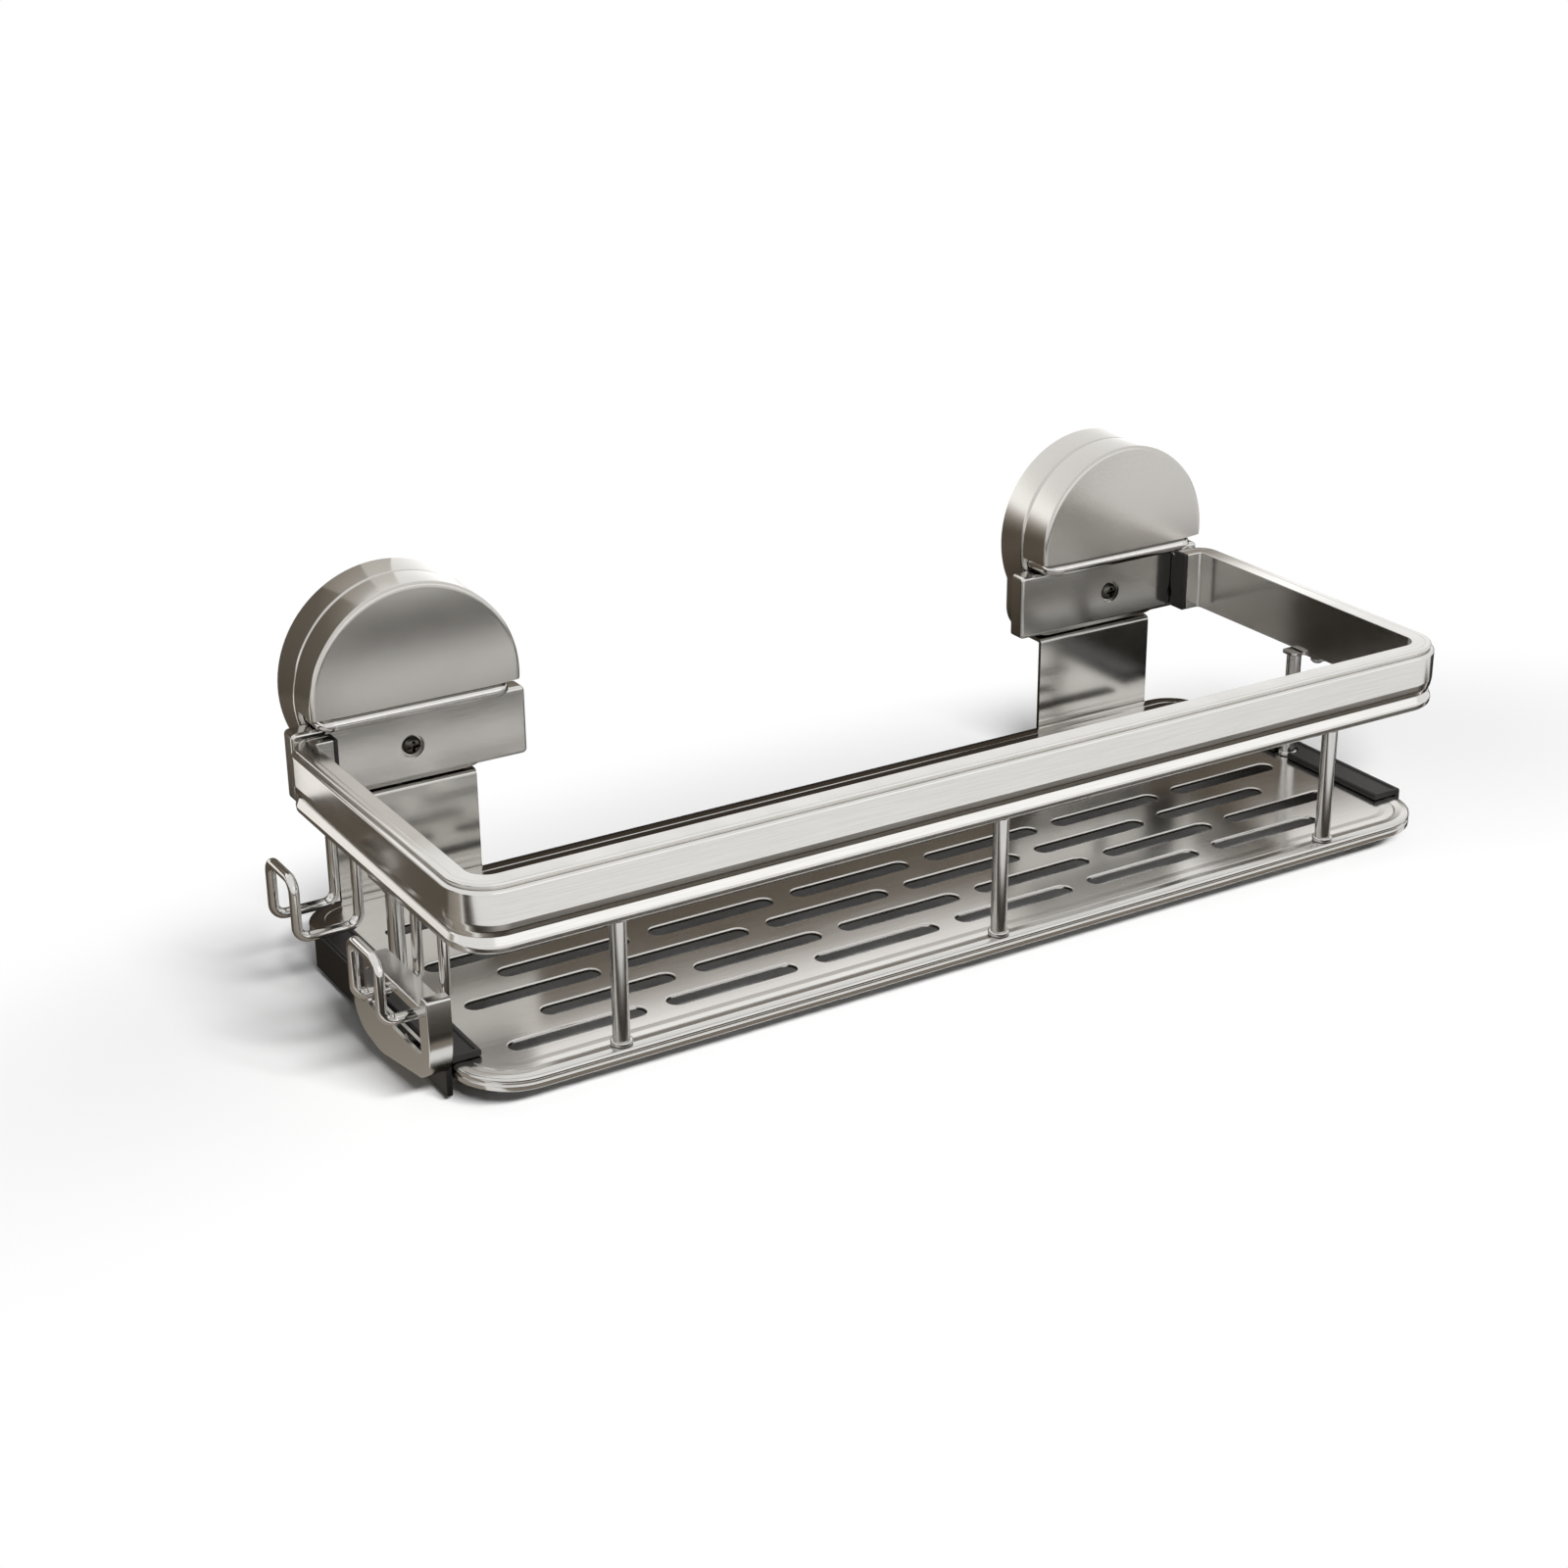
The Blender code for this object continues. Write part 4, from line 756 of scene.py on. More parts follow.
# Hairline stainless sheet: lines along X, drawn 0.3 mm apart as on the rail, give it a soft sheen
sheet_steel = metal("hairline_stainless_sheet", "#cac8c4", "#d1cfcc", 0.16, ALONG_X, 0.3, 0.01)
# Satin nickel on a zinc casting: even, with a pearly 0.4 mm grain, darker and softer than the sheet
cast_nickel = metal("satin_nickel_plated_zinc", "#c2bfba", "#c9c6c1", 0.2, ALL_ROUND, 0.4, 0.006)
# Drawn stainless rod: satin, with faint lines 0.5 mm apart down the posts
satin_rod = metal("satin_drawn_stainless_rod", "#c6c4c0", "#cecccb", 0.2, DOWN_THE_ROD, 0.5, 0.006)
# Polished stainless wire and bar: bright and smooth, with hardly any lines
bright_steel = metal("polished_stainless_wire", "#cfcdca", "#d8d6d4", 0.1, DOWN_THE_ROD, 0.5, 0.004)
# Zinc-plated screw steel: bright, slightly blue and a little uneven, in 1 mm patches
screw_metal = metal("zinc_plated_screw_steel", "#b9b8b6", "#cfcfce", 0.2, ALL_ROUND, 1.0, 0.02)
# Painted shade on the two large screws: screw steel darkened all over to stand in for the shade in
# the dimple round each head and in its cross recess, with lighter flecks, uneven in 1 mm patches
dark_screw = metal(
    "screw_steel_darkened_as_painted_shade", "#4a4743", "#67635e", 0.2, ALL_ROUND, 1.0, 0.02,
)
# Black nylon strip with a fine moulded texture, 0.4 mm apart, and a dull shine
black_nylon = polymer("moulded_black_nylon", "#0d0b0a", "#141110", 0.42, 0.4, 0.03)
# Soft black rubber, matt, with a faint bloom and a 0.5 mm skin texture
soft_rubber = polymer("soft_black_rubber", "#1b1b1c", "#262627", 0.55, 0.5, 0.03)


def make_rail():
    """Guard rail: its shell section run round the four bends, and a cap in each cut end."""
    start = -HALF_LENGTH + RETURN_LENGTH
    outline = rounded(RAIL_FACE + RAIL_CHANNEL, 5)
    rail = section(
        "guard_rail_shell", [(start, -RETURN_OUT - depth, height) for depth, height in outline],
    )
    rear_x = HALF_LENGTH - REAR_BEND
    rear_y = -RETURN_OUT - REAR_BEND
    front_x = HALF_LENGTH - FRONT_BEND
    front_y = -REACH + FRONT_BEND
    up = (0, 0, 1)
    edit(rail)
    bpy.ops.mesh.select_all(action="SELECT")
    straight(REAR_BEND - RETURN_LENGTH, 0, 0)
    turn((-rear_x, rear_y, 0), up, 90, REAR_BEND_STEPS)
    straight(0, front_y - rear_y, 0)
    turn((-front_x, front_y, 0), up, 90, FRONT_BEND_STEPS)
    straight(2 * front_x, 0, 0)
    turn((front_x, front_y, 0), up, 90, FRONT_BEND_STEPS)
    straight(0, rear_y - front_y, 0)
    turn((rear_x, rear_y, 0), up, 90, REAR_BEND_STEPS)
    straight(REAR_BEND - RETURN_LENGTH, 0, 0)
    close()
    dressed(rail, rail_metal, "basket", ["guard_rail"], 50)
    face = [(-RETURN_OUT - depth, height) for depth, height in rounded(RAIL_FACE, 4)]
    low = start + CAP_GAP
    cap = slab("left_rail_cap", face, low, low + CAP_THICKNESS, "yz")
    softened(cap, CAP_EDGE, 3)
    twin = mirrored(cap, "right_rail_cap")
    dressed(cap, black_nylon, "basket", ["left_end_cap"])
    dressed(twin, black_nylon, "basket", ["right_end_cap"])


def make_tray():
    """Tray: its rim section run round four corners, the flat filled in, and the drains punched."""
    rim = rounded(RIM_SECTION, 4, closed=False)
    wire = [(-REACH + depth, TRAY_TOP + height) for depth, height in rim]
    front_x = TRAY_SIDE - TRAY_FRONT_CORNER
    front_y = -REACH + TRAY_FRONT_CORNER
    rear_x = TRAY_SIDE - TRAY_REAR_CORNER
    rear_y = -TRAY_REAR - TRAY_REAR_CORNER
    tray = ring(
        "tray_sheet", wire, 0,
        (
            (front_x, front_y, TRAY_FRONT_CORNER), (rear_x, rear_y, TRAY_REAR_CORNER),
            (-rear_x, rear_y, TRAY_REAR_CORNER), (-front_x, front_y, TRAY_FRONT_CORNER),
        ),
        TRAY_CORNER_STEPS,
    )
    radius = DRAIN_WIDTH / 2
    reach = DRAIN_LENGTH / 2 - radius
    edge = DRAIN_EDGE
    lip = arc((-radius - edge, -edge), edge, 0, pi / 2, 3)
    wire = [(-radius, -DRAIN_DEPTH)] + lip + [(-radius - edge, OVERRUN)]
    punch = ring(
        "drain_punch", [(v, TRAY_TOP + w) for v, w in wire], 0,
        [(x, 0, radius) for x in (reach, reach, -reach, -reach)], 5,
    )
    punches = []
    for row in range(DRAIN_ROWS):
        y = -REACH + DRAIN_FIRST_ROW + row * DRAIN_ROW_PITCH
        shift = DRAIN_STAGGER * (0.5 if row % 2 else -0.5)
        for column in range(DRAIN_COLUMNS):
            x = shift + (column - (DRAIN_COLUMNS - 1) / 2) * DRAIN_PITCH
            punches.append(copied(punch, "drain_punch_copy", (x, y, 0)))
    bpy.data.objects.remove(punch)
    cut(tray, joined("drain_punches", punches))
    dressed(tray, sheet_steel, "basket", ["tray"], 30)


def make_posts():
    """Posts between tray and rail, with the side posts' foot plates under the rail."""
    height = POST_TOP - POST_FOOT
    collar = (
        (0, 0, 0), (COLLAR_RADIUS, 0, 0.25), (COLLAR_RADIUS, COLLAR_HEIGHT, 0.4),
        (POST_RADIUS, COLLAR_HEIGHT, 0),
    )
    stud = (
        (POST_RADIUS, height, 0.25), (STUD_RADIUS, height, 0),
        (STUD_RADIUS, height + STUD_HEIGHT, 0), (0, height + STUD_HEIGHT, 0),
    )
    post = lathe("post", collar + stud, POST_SIDES)
    for name, x in (("left", -FRONT_POST_X), ("centre", 0), ("right", FRONT_POST_X)):
        piece = copied(post, "front_" + name + "_post_rod", (x, FRONT_POST_Y, POST_FOOT))
        dressed(piece, satin_rod, "basket", ["front_post_" + name])
    bpy.data.objects.remove(post)
    inside = height - FOOT_PLATE / 2
    end = ((POST_RADIUS, inside, 0), (0, inside, 0))
    side_post = lathe("side_post", collar + end, POST_SIDES)
    placed(side_post, (-SIDE_POST_X, SIDE_POST_Y, POST_FOOT))
    plate = slab("foot_plate", rounded(FOOT_OUTLINE, 5), POST_TOP - FOOT_PLATE, POST_TOP)
    cut(side_post, plate, "UNION")
    softened(side_post, FOOT_EDGE, 2, 60)
    pair(side_post, "side_post_rod", satin_rod, "basket", "side_post")


def make_strips():
    """Black strips folded over the tray's short edges, notched round the side posts."""
    outer = -HALF_LENGTH
    skirt = outer + STRIP_SKIRT
    flange = outer + STRIP_FLANGE
    profile = (
        (outer, STRIP_LOW, 0.5), (skirt, STRIP_LOW, 0.5), (skirt, STRIP_SEAT, 0),
        (flange, STRIP_SEAT, 0), (flange, STRIP_TOP, 0.9), (outer, STRIP_TOP, 1.0),
    )
    strip = slab("strip", rounded(profile, 4), -STRIP_REAR, -STRIP_FRONT, "xz")
    edit(strip)
    choose(strip, lambda centre, normal: normal.z > 0.99 and centre.z > STRIP_TOP - NEAR)
    inset(STRIP_BORDER)
    straight(0, 0, -STRIP_RECESS)
    close()
    notch = arc((-SIDE_POST_X, SIDE_POST_Y), STRIP_NOTCH, pi / 2, 3 * pi / 2, 12)
    notch += [(flange + OVERRUN, SIDE_POST_Y + way) for way in (-STRIP_NOTCH, STRIP_NOTCH)]
    cut(strip, slab("notch", notch, STRIP_SEAT - OVERRUN, STRIP_TOP + OVERRUN))
    softened(strip, STRIP_EDGE, 2, 50)
    pair(strip, "strip_moulding", black_nylon, "basket", "edge_strip", sharp=40)


def housing_outline():
    """Outline of a mount's housing: a disc whose lower half runs down into a square foot."""
    start = -asin(sqrt(HOUSING_RADIUS ** 2 - HOUSING_HALF_WIDTH ** 2) / HOUSING_RADIUS)
    over = arc((0, 0), HOUSING_RADIUS, start, pi - start, 64)
    side = HOUSING_HALF_WIDTH - HOUSING_CORNER
    low = HOUSING_CORNER - HOUSING_DROP
    left = arc((-side, low), HOUSING_CORNER, pi, 3 * pi / 2, 12)
    right = arc((side, low), HOUSING_CORNER, 3 * pi / 2, 2 * pi, 12)
    return over + left + right


def taper():
    """Draw in what is selected to the size of the housing's front."""
    bpy.ops.transform.resize(
        value=(HOUSING_TAPER, 1, HOUSING_TAPER), center_override=(0, 0, 0),
    )


def make_housing():
    """Housing: a tapered hollow cover with a rounded front rim, a press ring and a screw boss."""
    cover = slab("housing", housing_outline(), HOUSING_REAR, HOUSING_FRONT, "xz")
    edit(cover)
    choose(cover, lambda centre, normal: normal.y < -0.9)
    taper()
    bevel(HOUSING_EDGE, 6)
    choose(cover, lambda centre, normal: normal.y > 0.9)
    inset(HOUSING_WALL)
    straight(0, HOUSING_REAR - HOUSING_FRONT + HOUSING_FACE, 0)
    taper()
    close()
    press = slab("press_ring", circle(0, 0, PRESS_OUTER, 64), PRESS_REAR, PRESS_FRONT, "xz")
    bore = circle(0, 0, PRESS_INNER, 64)
    cut(press, slab("bore", bore, PRESS_REAR - OVERRUN, PRESS_FRONT + OVERRUN, "xz"))
    cut(cover, press, "UNION")
    outline = circle(0, PLATE_SCREW_HEIGHT, BOSS_RADIUS, 40)
    cut(cover, slab("boss", outline, BOSS_REAR, SCREW_SEAT, "xz"), "UNION")
    for x in (-ARM_X, ARM_X):
        hole = circle(x, BAR_HEIGHT, ARM_HOLE, 28)
        cut(cover, slab("arm_hole", hole, ARM_HOLE_REAR, ARM_HOLE_FRONT, "xz"))
    pair(cover, "housing", cast_nickel, "basket", "base", -MOUNT_X, 35)


def make_pad():
    """Suction pad with three fine sealing ridges on the ring that lies on the wall."""
    pad = lathe("pad", PAD_PROFILE, 72)
    placed(pad, (0, 0, 0), (90, 0, 0))
    pair(pad, "rubber_pad", soft_rubber, "basket", "suction_pad", -MOUNT_X)


def make_pull():
    """Pull yoke with its core, and the bail whose bar runs under the lever."""
    yoke = lathe("yoke", CORE_PROFILE, 48)
    placed(yoke, (0, 0, 0), (90, 0, 0))
    outline = rounded(YOKE_OUTLINE, 8)
    cut(yoke, slab("yoke_bar", outline, YOKE_REAR, YOKE_FRONT, "xz"), "UNION")
    pair(yoke, "yoke_plate", screw_metal, "pull", "pull_yoke", -MOUNT_X, 35)
    corners = [
        (x, -out, BAR_HEIGHT)
        for x, out in ((-ARM_X, ARM_END), (-ARM_X, BAR_OUT), (ARM_X, BAR_OUT), (ARM_X, ARM_END))
    ]
    bar = round_bar("bar", corners, BAR_RADIUS, BAIL_BEND, 10, 28)
    pair(bar, "round_bar", bright_steel, "pull", "bail", -MOUNT_X)


def make_lever():
    """Lever: a half-disc shell with a soft crown to its face, and two ears behind the bar."""
    face = LEVER_FRONT - CROWN_RISE
    lever = slab("lever", circle(0, 0, LEVER_RADIUS, LEVER_SIDES), LEVER_REAR, face, "xz")
    edit(lever)
    choose(lever, lambda centre, normal: normal.y < -0.9)
    bevel(LEVER_EDGE)
    choose(lever, lambda centre, normal: normal.y < -0.999 and abs(centre.x) + abs(centre.z) < 1)
    for step in range(CROWN_STEPS):
        inset(CROWN_WIDTH / CROWN_STEPS)
        straight(0, -CROWN_RISE * (2 * (CROWN_STEPS - step) - 1) / CROWN_STEPS ** 2, 0)
    bpy.ops.mesh.select_all(action="SELECT")
    level = LEVER_CHORD + sum(drop for width, drop in LOWER_EDGE)
    bpy.ops.mesh.bisect(
        plane_co=mm(0, 0, level), plane_no=(0, 0, 1), use_fill=True, clear_inner=True,
        threshold=WELD / 10,
    )
    choose(lever, lambda centre, normal: normal.z < -0.99 and centre.z < level + NEAR)
    for width, drop in LOWER_EDGE:
        inset(width)
        straight(0, 0, -drop)
    close()
    radius = LEVER_RADIUS - LEVER_WALL
    start = asin((LEVER_CHORD + LEVER_WALL) / radius)
    hollow = arc((0, 0), radius, start, pi - start, 72)
    cut(lever, slab("hollow", hollow, LEVER_REAR - OVERRUN, face - LEVER_WALL, "xz"))
    outline = arc((0, 0), EAR_INNER, EAR_START, EAR_END, 14)
    outline += arc((0, 0), EAR_OUTER, EAR_END, 0, 6)
    outline += [(EAR_OUTER, EAR_SHELF), (EAR_INNER * cos(EAR_START), EAR_SHELF)]
    ear = slab("ear", outline, -EAR_HALF_WIDTH, EAR_HALF_WIDTH, "yz")
    for x in (-EAR_X, EAR_X):
        cut(lever, copied(ear, "ear_copy", (x, -BAR_OUT, BAR_HEIGHT)), "UNION")
    bpy.data.objects.remove(ear)
    pair(lever, "lever_shell", cast_nickel, "lever", "lever", -MOUNT_X, 30)


def make_plates():
    """Front plates behind the rail's returns: pressed pans with a hole round their screw."""
    half = PLATE_HALF_WIDTH
    corners = ((-half, PLATE_LOW), (half, PLATE_LOW), (half, PLATE_TOP), (-half, PLATE_TOP))
    outline = rounded([(x, z, PLATE_CORNER) for x, z in corners], 5)
    plate = slab("plate", outline, PLATE_REAR, PLATE_FRONT, "xz")
    edit(plate)
    choose(plate, lambda centre, normal: normal.y < -0.9)
    bevel(PLATE_EDGE)
    choose(plate, lambda centre, normal: normal.y > 0.9)
    inset(PLATE_SHEET)
    straight(0, PLATE_REAR - PLATE_FRONT + PLATE_SHEET, 0)
    close()
    hole = circle(0, PLATE_SCREW_HEIGHT, PLATE_SCREW_HOLE, 40)
    cut(plate, slab("screw_hole", hole, PLATE_REAR, PLATE_FRONT + OVERRUN, "xz"))
    pair(plate, "return_plate", sheet_steel, "basket", "front_plate", -MOUNT_X, 35)


def make_hangers():
    """Hanger angles from the housings down to the tray's rear rim."""
    half = HANGER_HALF_WIDTH
    inner = HANGER_OUT - HANGER_SHEET
    under = HANGER_TOP - HANGER_SHEET
    profile = (
        (-HANGER_OUT, HANGER_LOW, 0.2), (-inner, HANGER_LOW, 0.2), (-inner, under, 0.4),
        (-HOUSING_REAR, under, 0.2), (-HOUSING_REAR, HANGER_TOP, 0.2),
        (-HANGER_OUT, HANGER_TOP, HANGER_BEND),
    )
    hanger = slab("hanger", rounded(profile, 4), -half - OVERRUN, half + OVERRUN, "yz")
    high = HANGER_TOP + OVERRUN
    outline = (
        (-half, HANGER_LOW, HANGER_CORNER), (half, HANGER_LOW, HANGER_CORNER),
        (half, high, 0), (-half, high, 0),
    )
    trim = slab("trim", rounded(outline, 8), -OVERRUN, HANGER_OUT + 2 * OVERRUN, "xz")
    cut(hanger, trim, "INTERSECT")
    softened(hanger, HANGER_EDGE, 2, 50)
    pair(hanger, "hanger_angle", sheet_steel, "basket", "hanger", -MOUNT_X)


def screw(name, head, height, shank, length, cross, steps):
    """Pan-head screw with a cross recess, its head on z = 0 and its shank below."""
    profile = (
        (0, height, 0), (head * HEAD_FLAT, height, height * 0.35),
        (head, height * HEAD_SIDE, height * 0.3), (head, 0, 0.08),
        (shank, 0, 0), (shank, -length, shank * 0.3), (0, -length, 0),
    )
    piece = lathe(name, profile, steps, 4)
    long = cross / 2
    wide = cross / RECESS_SLENDER
    outline = [
        (long, -wide), (long, wide), (wide, wide), (wide, long), (-wide, long), (-wide, wide),
        (-long, wide), (-long, -wide), (-wide, -wide), (-wide, -long), (wide, -long), (wide, -wide),
    ]
    recess = slab("recess", outline, height - height * RECESS_DEPTH, height + OVERRUN)
    edit(recess)
    choose(recess, lambda centre, normal: normal.z < -0.9)
    bpy.ops.transform.resize(
        value=(RECESS_TAPER, RECESS_TAPER, 1), center_override=(0, 0, 0),
    )
    close()
    return cut(piece, recess)


def set_screw(model, name, stands_for, place, rotation, material=screw_metal):
    """A copy of a screw, turned and set in its place, in front of its CAD node."""
    piece = copied(model, name, (0, 0, 0))
    placed(piece, place, rotation)
    dressed(piece, material, "basket", [stands_for], 30)


def make_screws():
    """All cross-head screws: the two on the front plates, the small ones and the pocket's."""
    large = screw("large_screw", *LARGE_SCREW)
    small = screw("small_screw", *SMALL_SCREW)
    tiny = screw("tiny_screw", *TINY_SCREW)
    under_tray = TRAY_TOP - TRAY_SHEET - HEAD_GAP
    out = (90, 0, 0)
    back = (-90, 0, 0)
    down = (180, 0, 0)
    for hand, side in (("left", -1), ("right", 1)):
        mount = side * MOUNT_X
        set_screw(
            large, hand + "_plate_cross_screw", hand + "_plate_screw",
            (mount, -SCREW_SEAT, PLATE_SCREW_HEIGHT), out, dark_screw,
        )
        # The plate screws take the darkened steel, which paints the shade of their dimples and
        # recesses
        set_screw(
            small, hand + "_return_screw", hand + "_rail_screw",
            (side * RAIL_SCREW_X, -SCREW_SEAT, RAIL_SCREW_HEIGHT), back,
        )
        set_screw(
            small, hand + "_housing_screw", hand + "_base_screw",
            (mount, -BASE_SCREW_OUT, BASE_SCREW_HEIGHT), down,
        )
        for place, way in (("inner", -side), ("outer", side)):
            set_screw(
                small, hand + "_rim_screw_" + place, hand + "_hanger_screw_" + place,
                (mount + way * HANGER_SCREW_SPREAD, -RIM_SCREW_OUT, RIM_SCREW_HEIGHT), back,
            )
        set_screw(
            small, hand + "_side_foot_cross_screw", hand + "_side_foot_screw",
            (side * FOOT_SCREW_X, FOOT_SCREW_Y, POST_TOP - FOOT_PLATE - HEAD_GAP), down,
        )
        set_screw(
            small, hand + "_side_tray_screw", hand + "_side_post_screw",
            (side * SIDE_POST_X, SIDE_POST_Y, under_tray), down,
        )
    for name, x in (("left", -FRONT_POST_X), ("centre", 0), ("right", FRONT_POST_X)):
        set_screw(
            small, "front_tray_screw_" + name, "front_post_screw_" + name,
            (x, FRONT_POST_Y, under_tray), down,
        )
    for name, y in zip(("front", "rear"), POCKET_SCREWS):
        set_screw(
            tiny, "pocket_cross_screw_" + name, "pocket_screw_" + name,
            (POCKET_INNER - POCKET_SHEET - HEAD_GAP, y, RIM_SCREW_HEIGHT), (0, -90, 0),
        )
    for model in (large, small, tiny):
        bpy.data.objects.remove(model)


def make_hooks():
    """Double wire hooks and the sliders that hold them in the rail."""
    for name, y in (("rear_hook", REAR_HOOK_Y), ("front_hook", FRONT_HOOK_Y)):
        back = y + HOOK_HALF_SPREAD
        front = y - HOOK_HALF_SPREAD
        side = (
            (HOOK_X, HOOK_TOP), (HOOK_X, HOOK_ARM_HEIGHT),
            (HOOK_LOOP_X, HOOK_ARM_HEIGHT), (HOOK_LOOP_X, HOOK_LOOP_HEIGHT),
        )
        corners = [(x, back, z) for x, z in side] + [(x, front, z) for x, z in reversed(side)]
        wire = round_bar(name + "_wire", corners, WIRE_RADIUS, HOOK_BEND, 10, 24)
        dressed(wire, bright_steel, name, [name])
        block = [
            (HOOK_X + across * SLIDER_HALF_WIDTH, y + along * SLIDER_HALF_LENGTH)
            for across, along in ((-1, -1), (1, -1), (1, 1), (-1, 1))
        ]
        slider = slab(name + "_shoe", block, SLIDER_LOW, SLIDER_TOP)
        softened(slider, SLIDER_EDGE, 3)
        dressed(slider, black_nylon, name, [name + "_slider"])


def make_pocket():
    """Side pocket: a shallow satin shell with a window and an opening at the back."""
    pocket = slab("side_pocket_shell", rounded(POCKET_OUTLINE, 8), POCKET_OUTER, POCKET_INNER, "yz")
    edit(pocket)
    choose(pocket, lambda centre, normal: normal.x < -0.9)
    bevel(POCKET_EDGE)
    close()
    back = POCKET_INNER - POCKET_SHEET
    hollow = rounded(drawn_in(POCKET_OUTLINE, POCKET_RIM), 8)
    cut(pocket, slab("hollow", hollow, POCKET_OUTER + POCKET_SHEET, back, "yz"))
    window = rounded(POCKET_WINDOW, 6)
    cut(pocket, slab("window", window, POCKET_OUTER - OVERRUN, back - OVERRUN, "yz"))
    raised = [Vector((y, max(z, POCKET_FLOOR))) for y, z in hollow]
    opening = [point for k, point in enumerate(raised) if (point - raised[k - 1]).length > 0.001]
    cut(pocket, slab("back", opening, back - OVERRUN, POCKET_INNER + OVERRUN, "yz"))
    dressed(pocket, sheet_steel, "basket", ["side_pocket"], 35)


def set_camera():
    """Camera at the photograph's angle, from the front left and above."""
    forward = Vector((sin(YAW) * cos(PITCH), cos(YAW) * cos(PITCH), -sin(PITCH)))
    across = Vector((cos(YAW), -sin(YAW), 0))
    right = across * cos(ROLL) + across.cross(forward) * sin(ROLL)
    above = right.cross(forward)
    data = bpy.data.cameras.new("camera")
    data.sensor_width = SENSOR
    data.lens = SENSOR * FOCAL / PHOTO_SIDE
    data.shift_x = (PHOTO_SIDE / 2 - PRINCIPAL_POINT[0]) / PHOTO_SIDE
    data.shift_y = (PRINCIPAL_POINT[1] - PHOTO_SIDE / 2) / PHOTO_SIDE
    data.clip_start = 0.01
    data.clip_end = 50
    camera = bpy.data.objects.new("camera", data)
    bpy.context.scene.collection.objects.link(camera)
    camera.rotation_euler = Matrix((right, above, -forward)).transposed().to_euler()
    camera.location = CAMERA_PLACE
    bpy.context.scene.camera = camera
    bpy.context.scene.view_settings.view_transform = "Standard"


def keep_nuts():
    """The nuts in the rail's channel keep their CAD shape and get the screws' material."""
    for name in (
        "front_nut_left", "front_nut_centre", "front_nut_right", "left_side_nut", "right_side_nut",
    ):
        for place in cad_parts[name].material_slots:
            place.material = screw_metal


def sheet(name, middle, size, upright, material):
    """A flat sheet of the studio, level or upright and facing the room."""
    release()
    tilt = pi / 2 if upright else 0
    bpy.ops.mesh.primitive_plane_add(size=1, location=mm(*middle), rotation=(tilt, 0, 0))
    plane = bpy.context.object
    plane.name = plane.data.name = name
    plane.scale = (size[0] / 1000, size[1] / 1000, 1)
    bpy.ops.object.transform_apply(location=True, rotation=True, scale=True)
    plane.data.materials.append(material)
    return plane


def card(name, middle, size, upright, tones, strength=1.0):
    """A sheet that only reflections see, in one tone or graded along its second side."""
    material = bpy.data.materials.new(name + "_paper")
    material.use_nodes = True
    tree = material.node_tree
    tree.nodes.clear()
    axis = 2 if upright else 1
    low = (middle[axis] - size[1] / 2) / 1000
    place = node(tree, "ShaderNodeTexCoord").outputs["Object"]
    along = node(tree, "ShaderNodeSeparateXYZ", _0=place).outputs[axis]
    high = low + size[1] / 1000
    share = node(tree, "ShaderNodeMapRange", Value=along, From_Min=low, From_Max=high)
    colour = node(tree, "ShaderNodeValToRGB", stops=tones, Fac=share)
    light = node(tree, "ShaderNodeEmission", Color=colour, Strength=strength)
    node(tree, "ShaderNodeOutputMaterial", Surface=light)
    plane = sheet(name, middle, size, upright, material)
    plane.visible_camera = False
    plane.visible_diffuse = False
    plane.visible_shadow = False
    plane.visible_transmission = False


def background_ray(tree):
    """One for the rays that are to see a plain white background, and nought for the rest."""
    path = node(tree, "ShaderNodeLightPath").outputs
    seen = path["Is Camera Ray"]
    for ray in ("Is Glossy Ray", "Is Transmission Ray"):
        seen = node(tree, "ShaderNodeMath", {"operation": "MAXIMUM"}, _0=seen, _1=path[ray])
    return seen


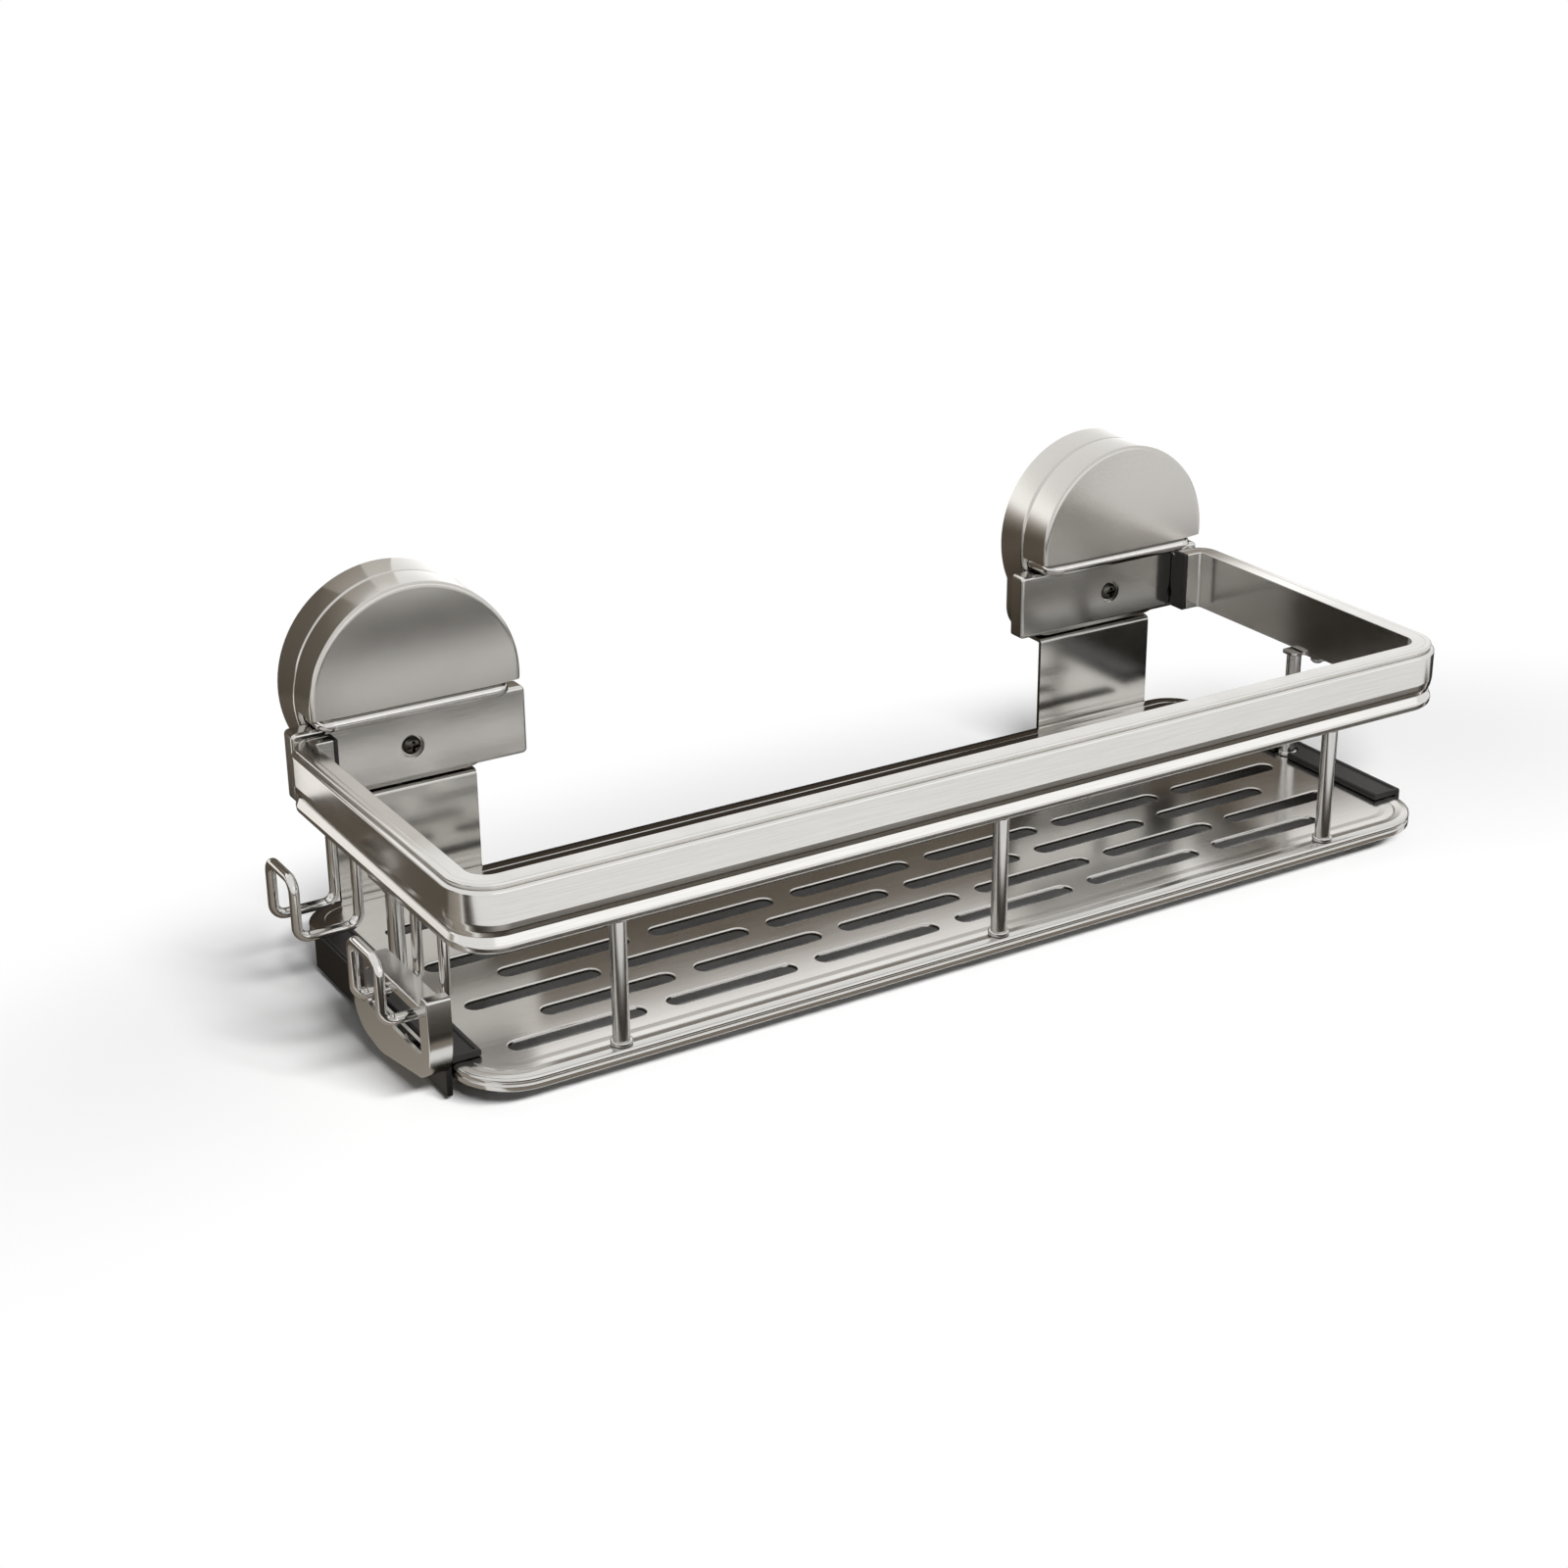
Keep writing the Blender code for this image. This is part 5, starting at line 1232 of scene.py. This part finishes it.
def make_studio():
    """Pale floor that keeps the shadow, white surroundings, one soft lamp, and cards to reflect."""
    material, tree, shader = blank("matt_white_floor")
    shader.inputs["Base Color"].default_value = tint("#f3f3f3")
    shader.inputs["Roughness"].default_value = 0.9
    shader.inputs["Specular IOR Level"].default_value = 0.0
    place = node(tree, "ShaderNodeTexCoord").outputs["Object"]
    oval = node(tree, "ShaderNodeVectorMath", {"operation": "MULTIPLY"}, _0=place, _1=FADE_SCALE)
    away = node(
        tree, "ShaderNodeVectorMath", {"operation": "DISTANCE"}, _0=oval, _1=mm(*FADE_MIDDLE),
    ).outputs["Value"]
    far = node(
        tree, "ShaderNodeMapRange", {"interpolation_type": "SMOOTHSTEP"},
        Value=away, From_Min=FLOOR_FADE[0] / 1000, From_Max=FLOOR_FADE[1] / 1000,
    )
    share = node(tree, "ShaderNodeMath", {"operation": "MULTIPLY"}, _0=far, _1=background_ray(tree))
    plain = node(tree, "ShaderNodeEmission", Strength=1.0)
    both = node(tree, "ShaderNodeMixShader", _0=share, _1=shader, _2=plain)
    tree.links.new(both.outputs[0], tree.nodes["Material Output"].inputs["Surface"])
    sheet("floor", (0, 0, FLOOR_HEIGHT), (FLOOR_SIZE, FLOOR_SIZE), False, material)

    world = bpy.data.worlds.new("studio")
    bpy.context.scene.world = world
    world.use_nodes = True
    tree = world.node_tree
    tree.nodes.clear()
    strength = node(tree, "ShaderNodeMapRange", Value=background_ray(tree), To_Min=FILL, To_Max=1.0)
    light = node(tree, "ShaderNodeBackground", Color=(1, 1, 1, 1), Strength=strength)
    node(tree, "ShaderNodeOutputWorld", Surface=light)

    full = BACKDROP_SIZE[1]
    low = BACKDROP_MIDDLE[2] - full / 2
    tones = [((level - low) / full, code) for level, code in BACKDROP_TONES]
    card("graded_backdrop", BACKDROP_MIDDLE, BACKDROP_SIZE, True, tones, BACKDROP_STRENGTH)
    card("graded_front_card", *FRONT_CARD, False, FRONT_TONES)
    for name, middle, size, upright, first, last, strength in CARDS:
        card(name, middle, size, upright, ((0.0, first), (1.0, last)), strength)

    data = bpy.data.lights.new("front_softbox", "AREA")
    data.shape = "RECTANGLE"
    data.size, data.size_y = mm(*LAMP_SIZE)
    data.energy = LAMP_POWER
    lamp = bpy.data.objects.new("front_softbox", data)
    lamp.visible_glossy = False
    bpy.context.scene.collection.objects.link(lamp)
    lamp.location = mm(*LAMP_PLACE)
    lamp.rotation_euler = (mm(*LAMP_AIM) - mm(*LAMP_PLACE)).to_track_quat("-Z", "Y").to_euler()


set_camera()
make_rail()
make_tray()
make_posts()
make_strips()
make_housing()
make_pad()
make_pull()
make_lever()
make_plates()
make_hangers()
make_screws()
make_hooks()
make_pocket()
keep_nuts()
make_studio()

release()
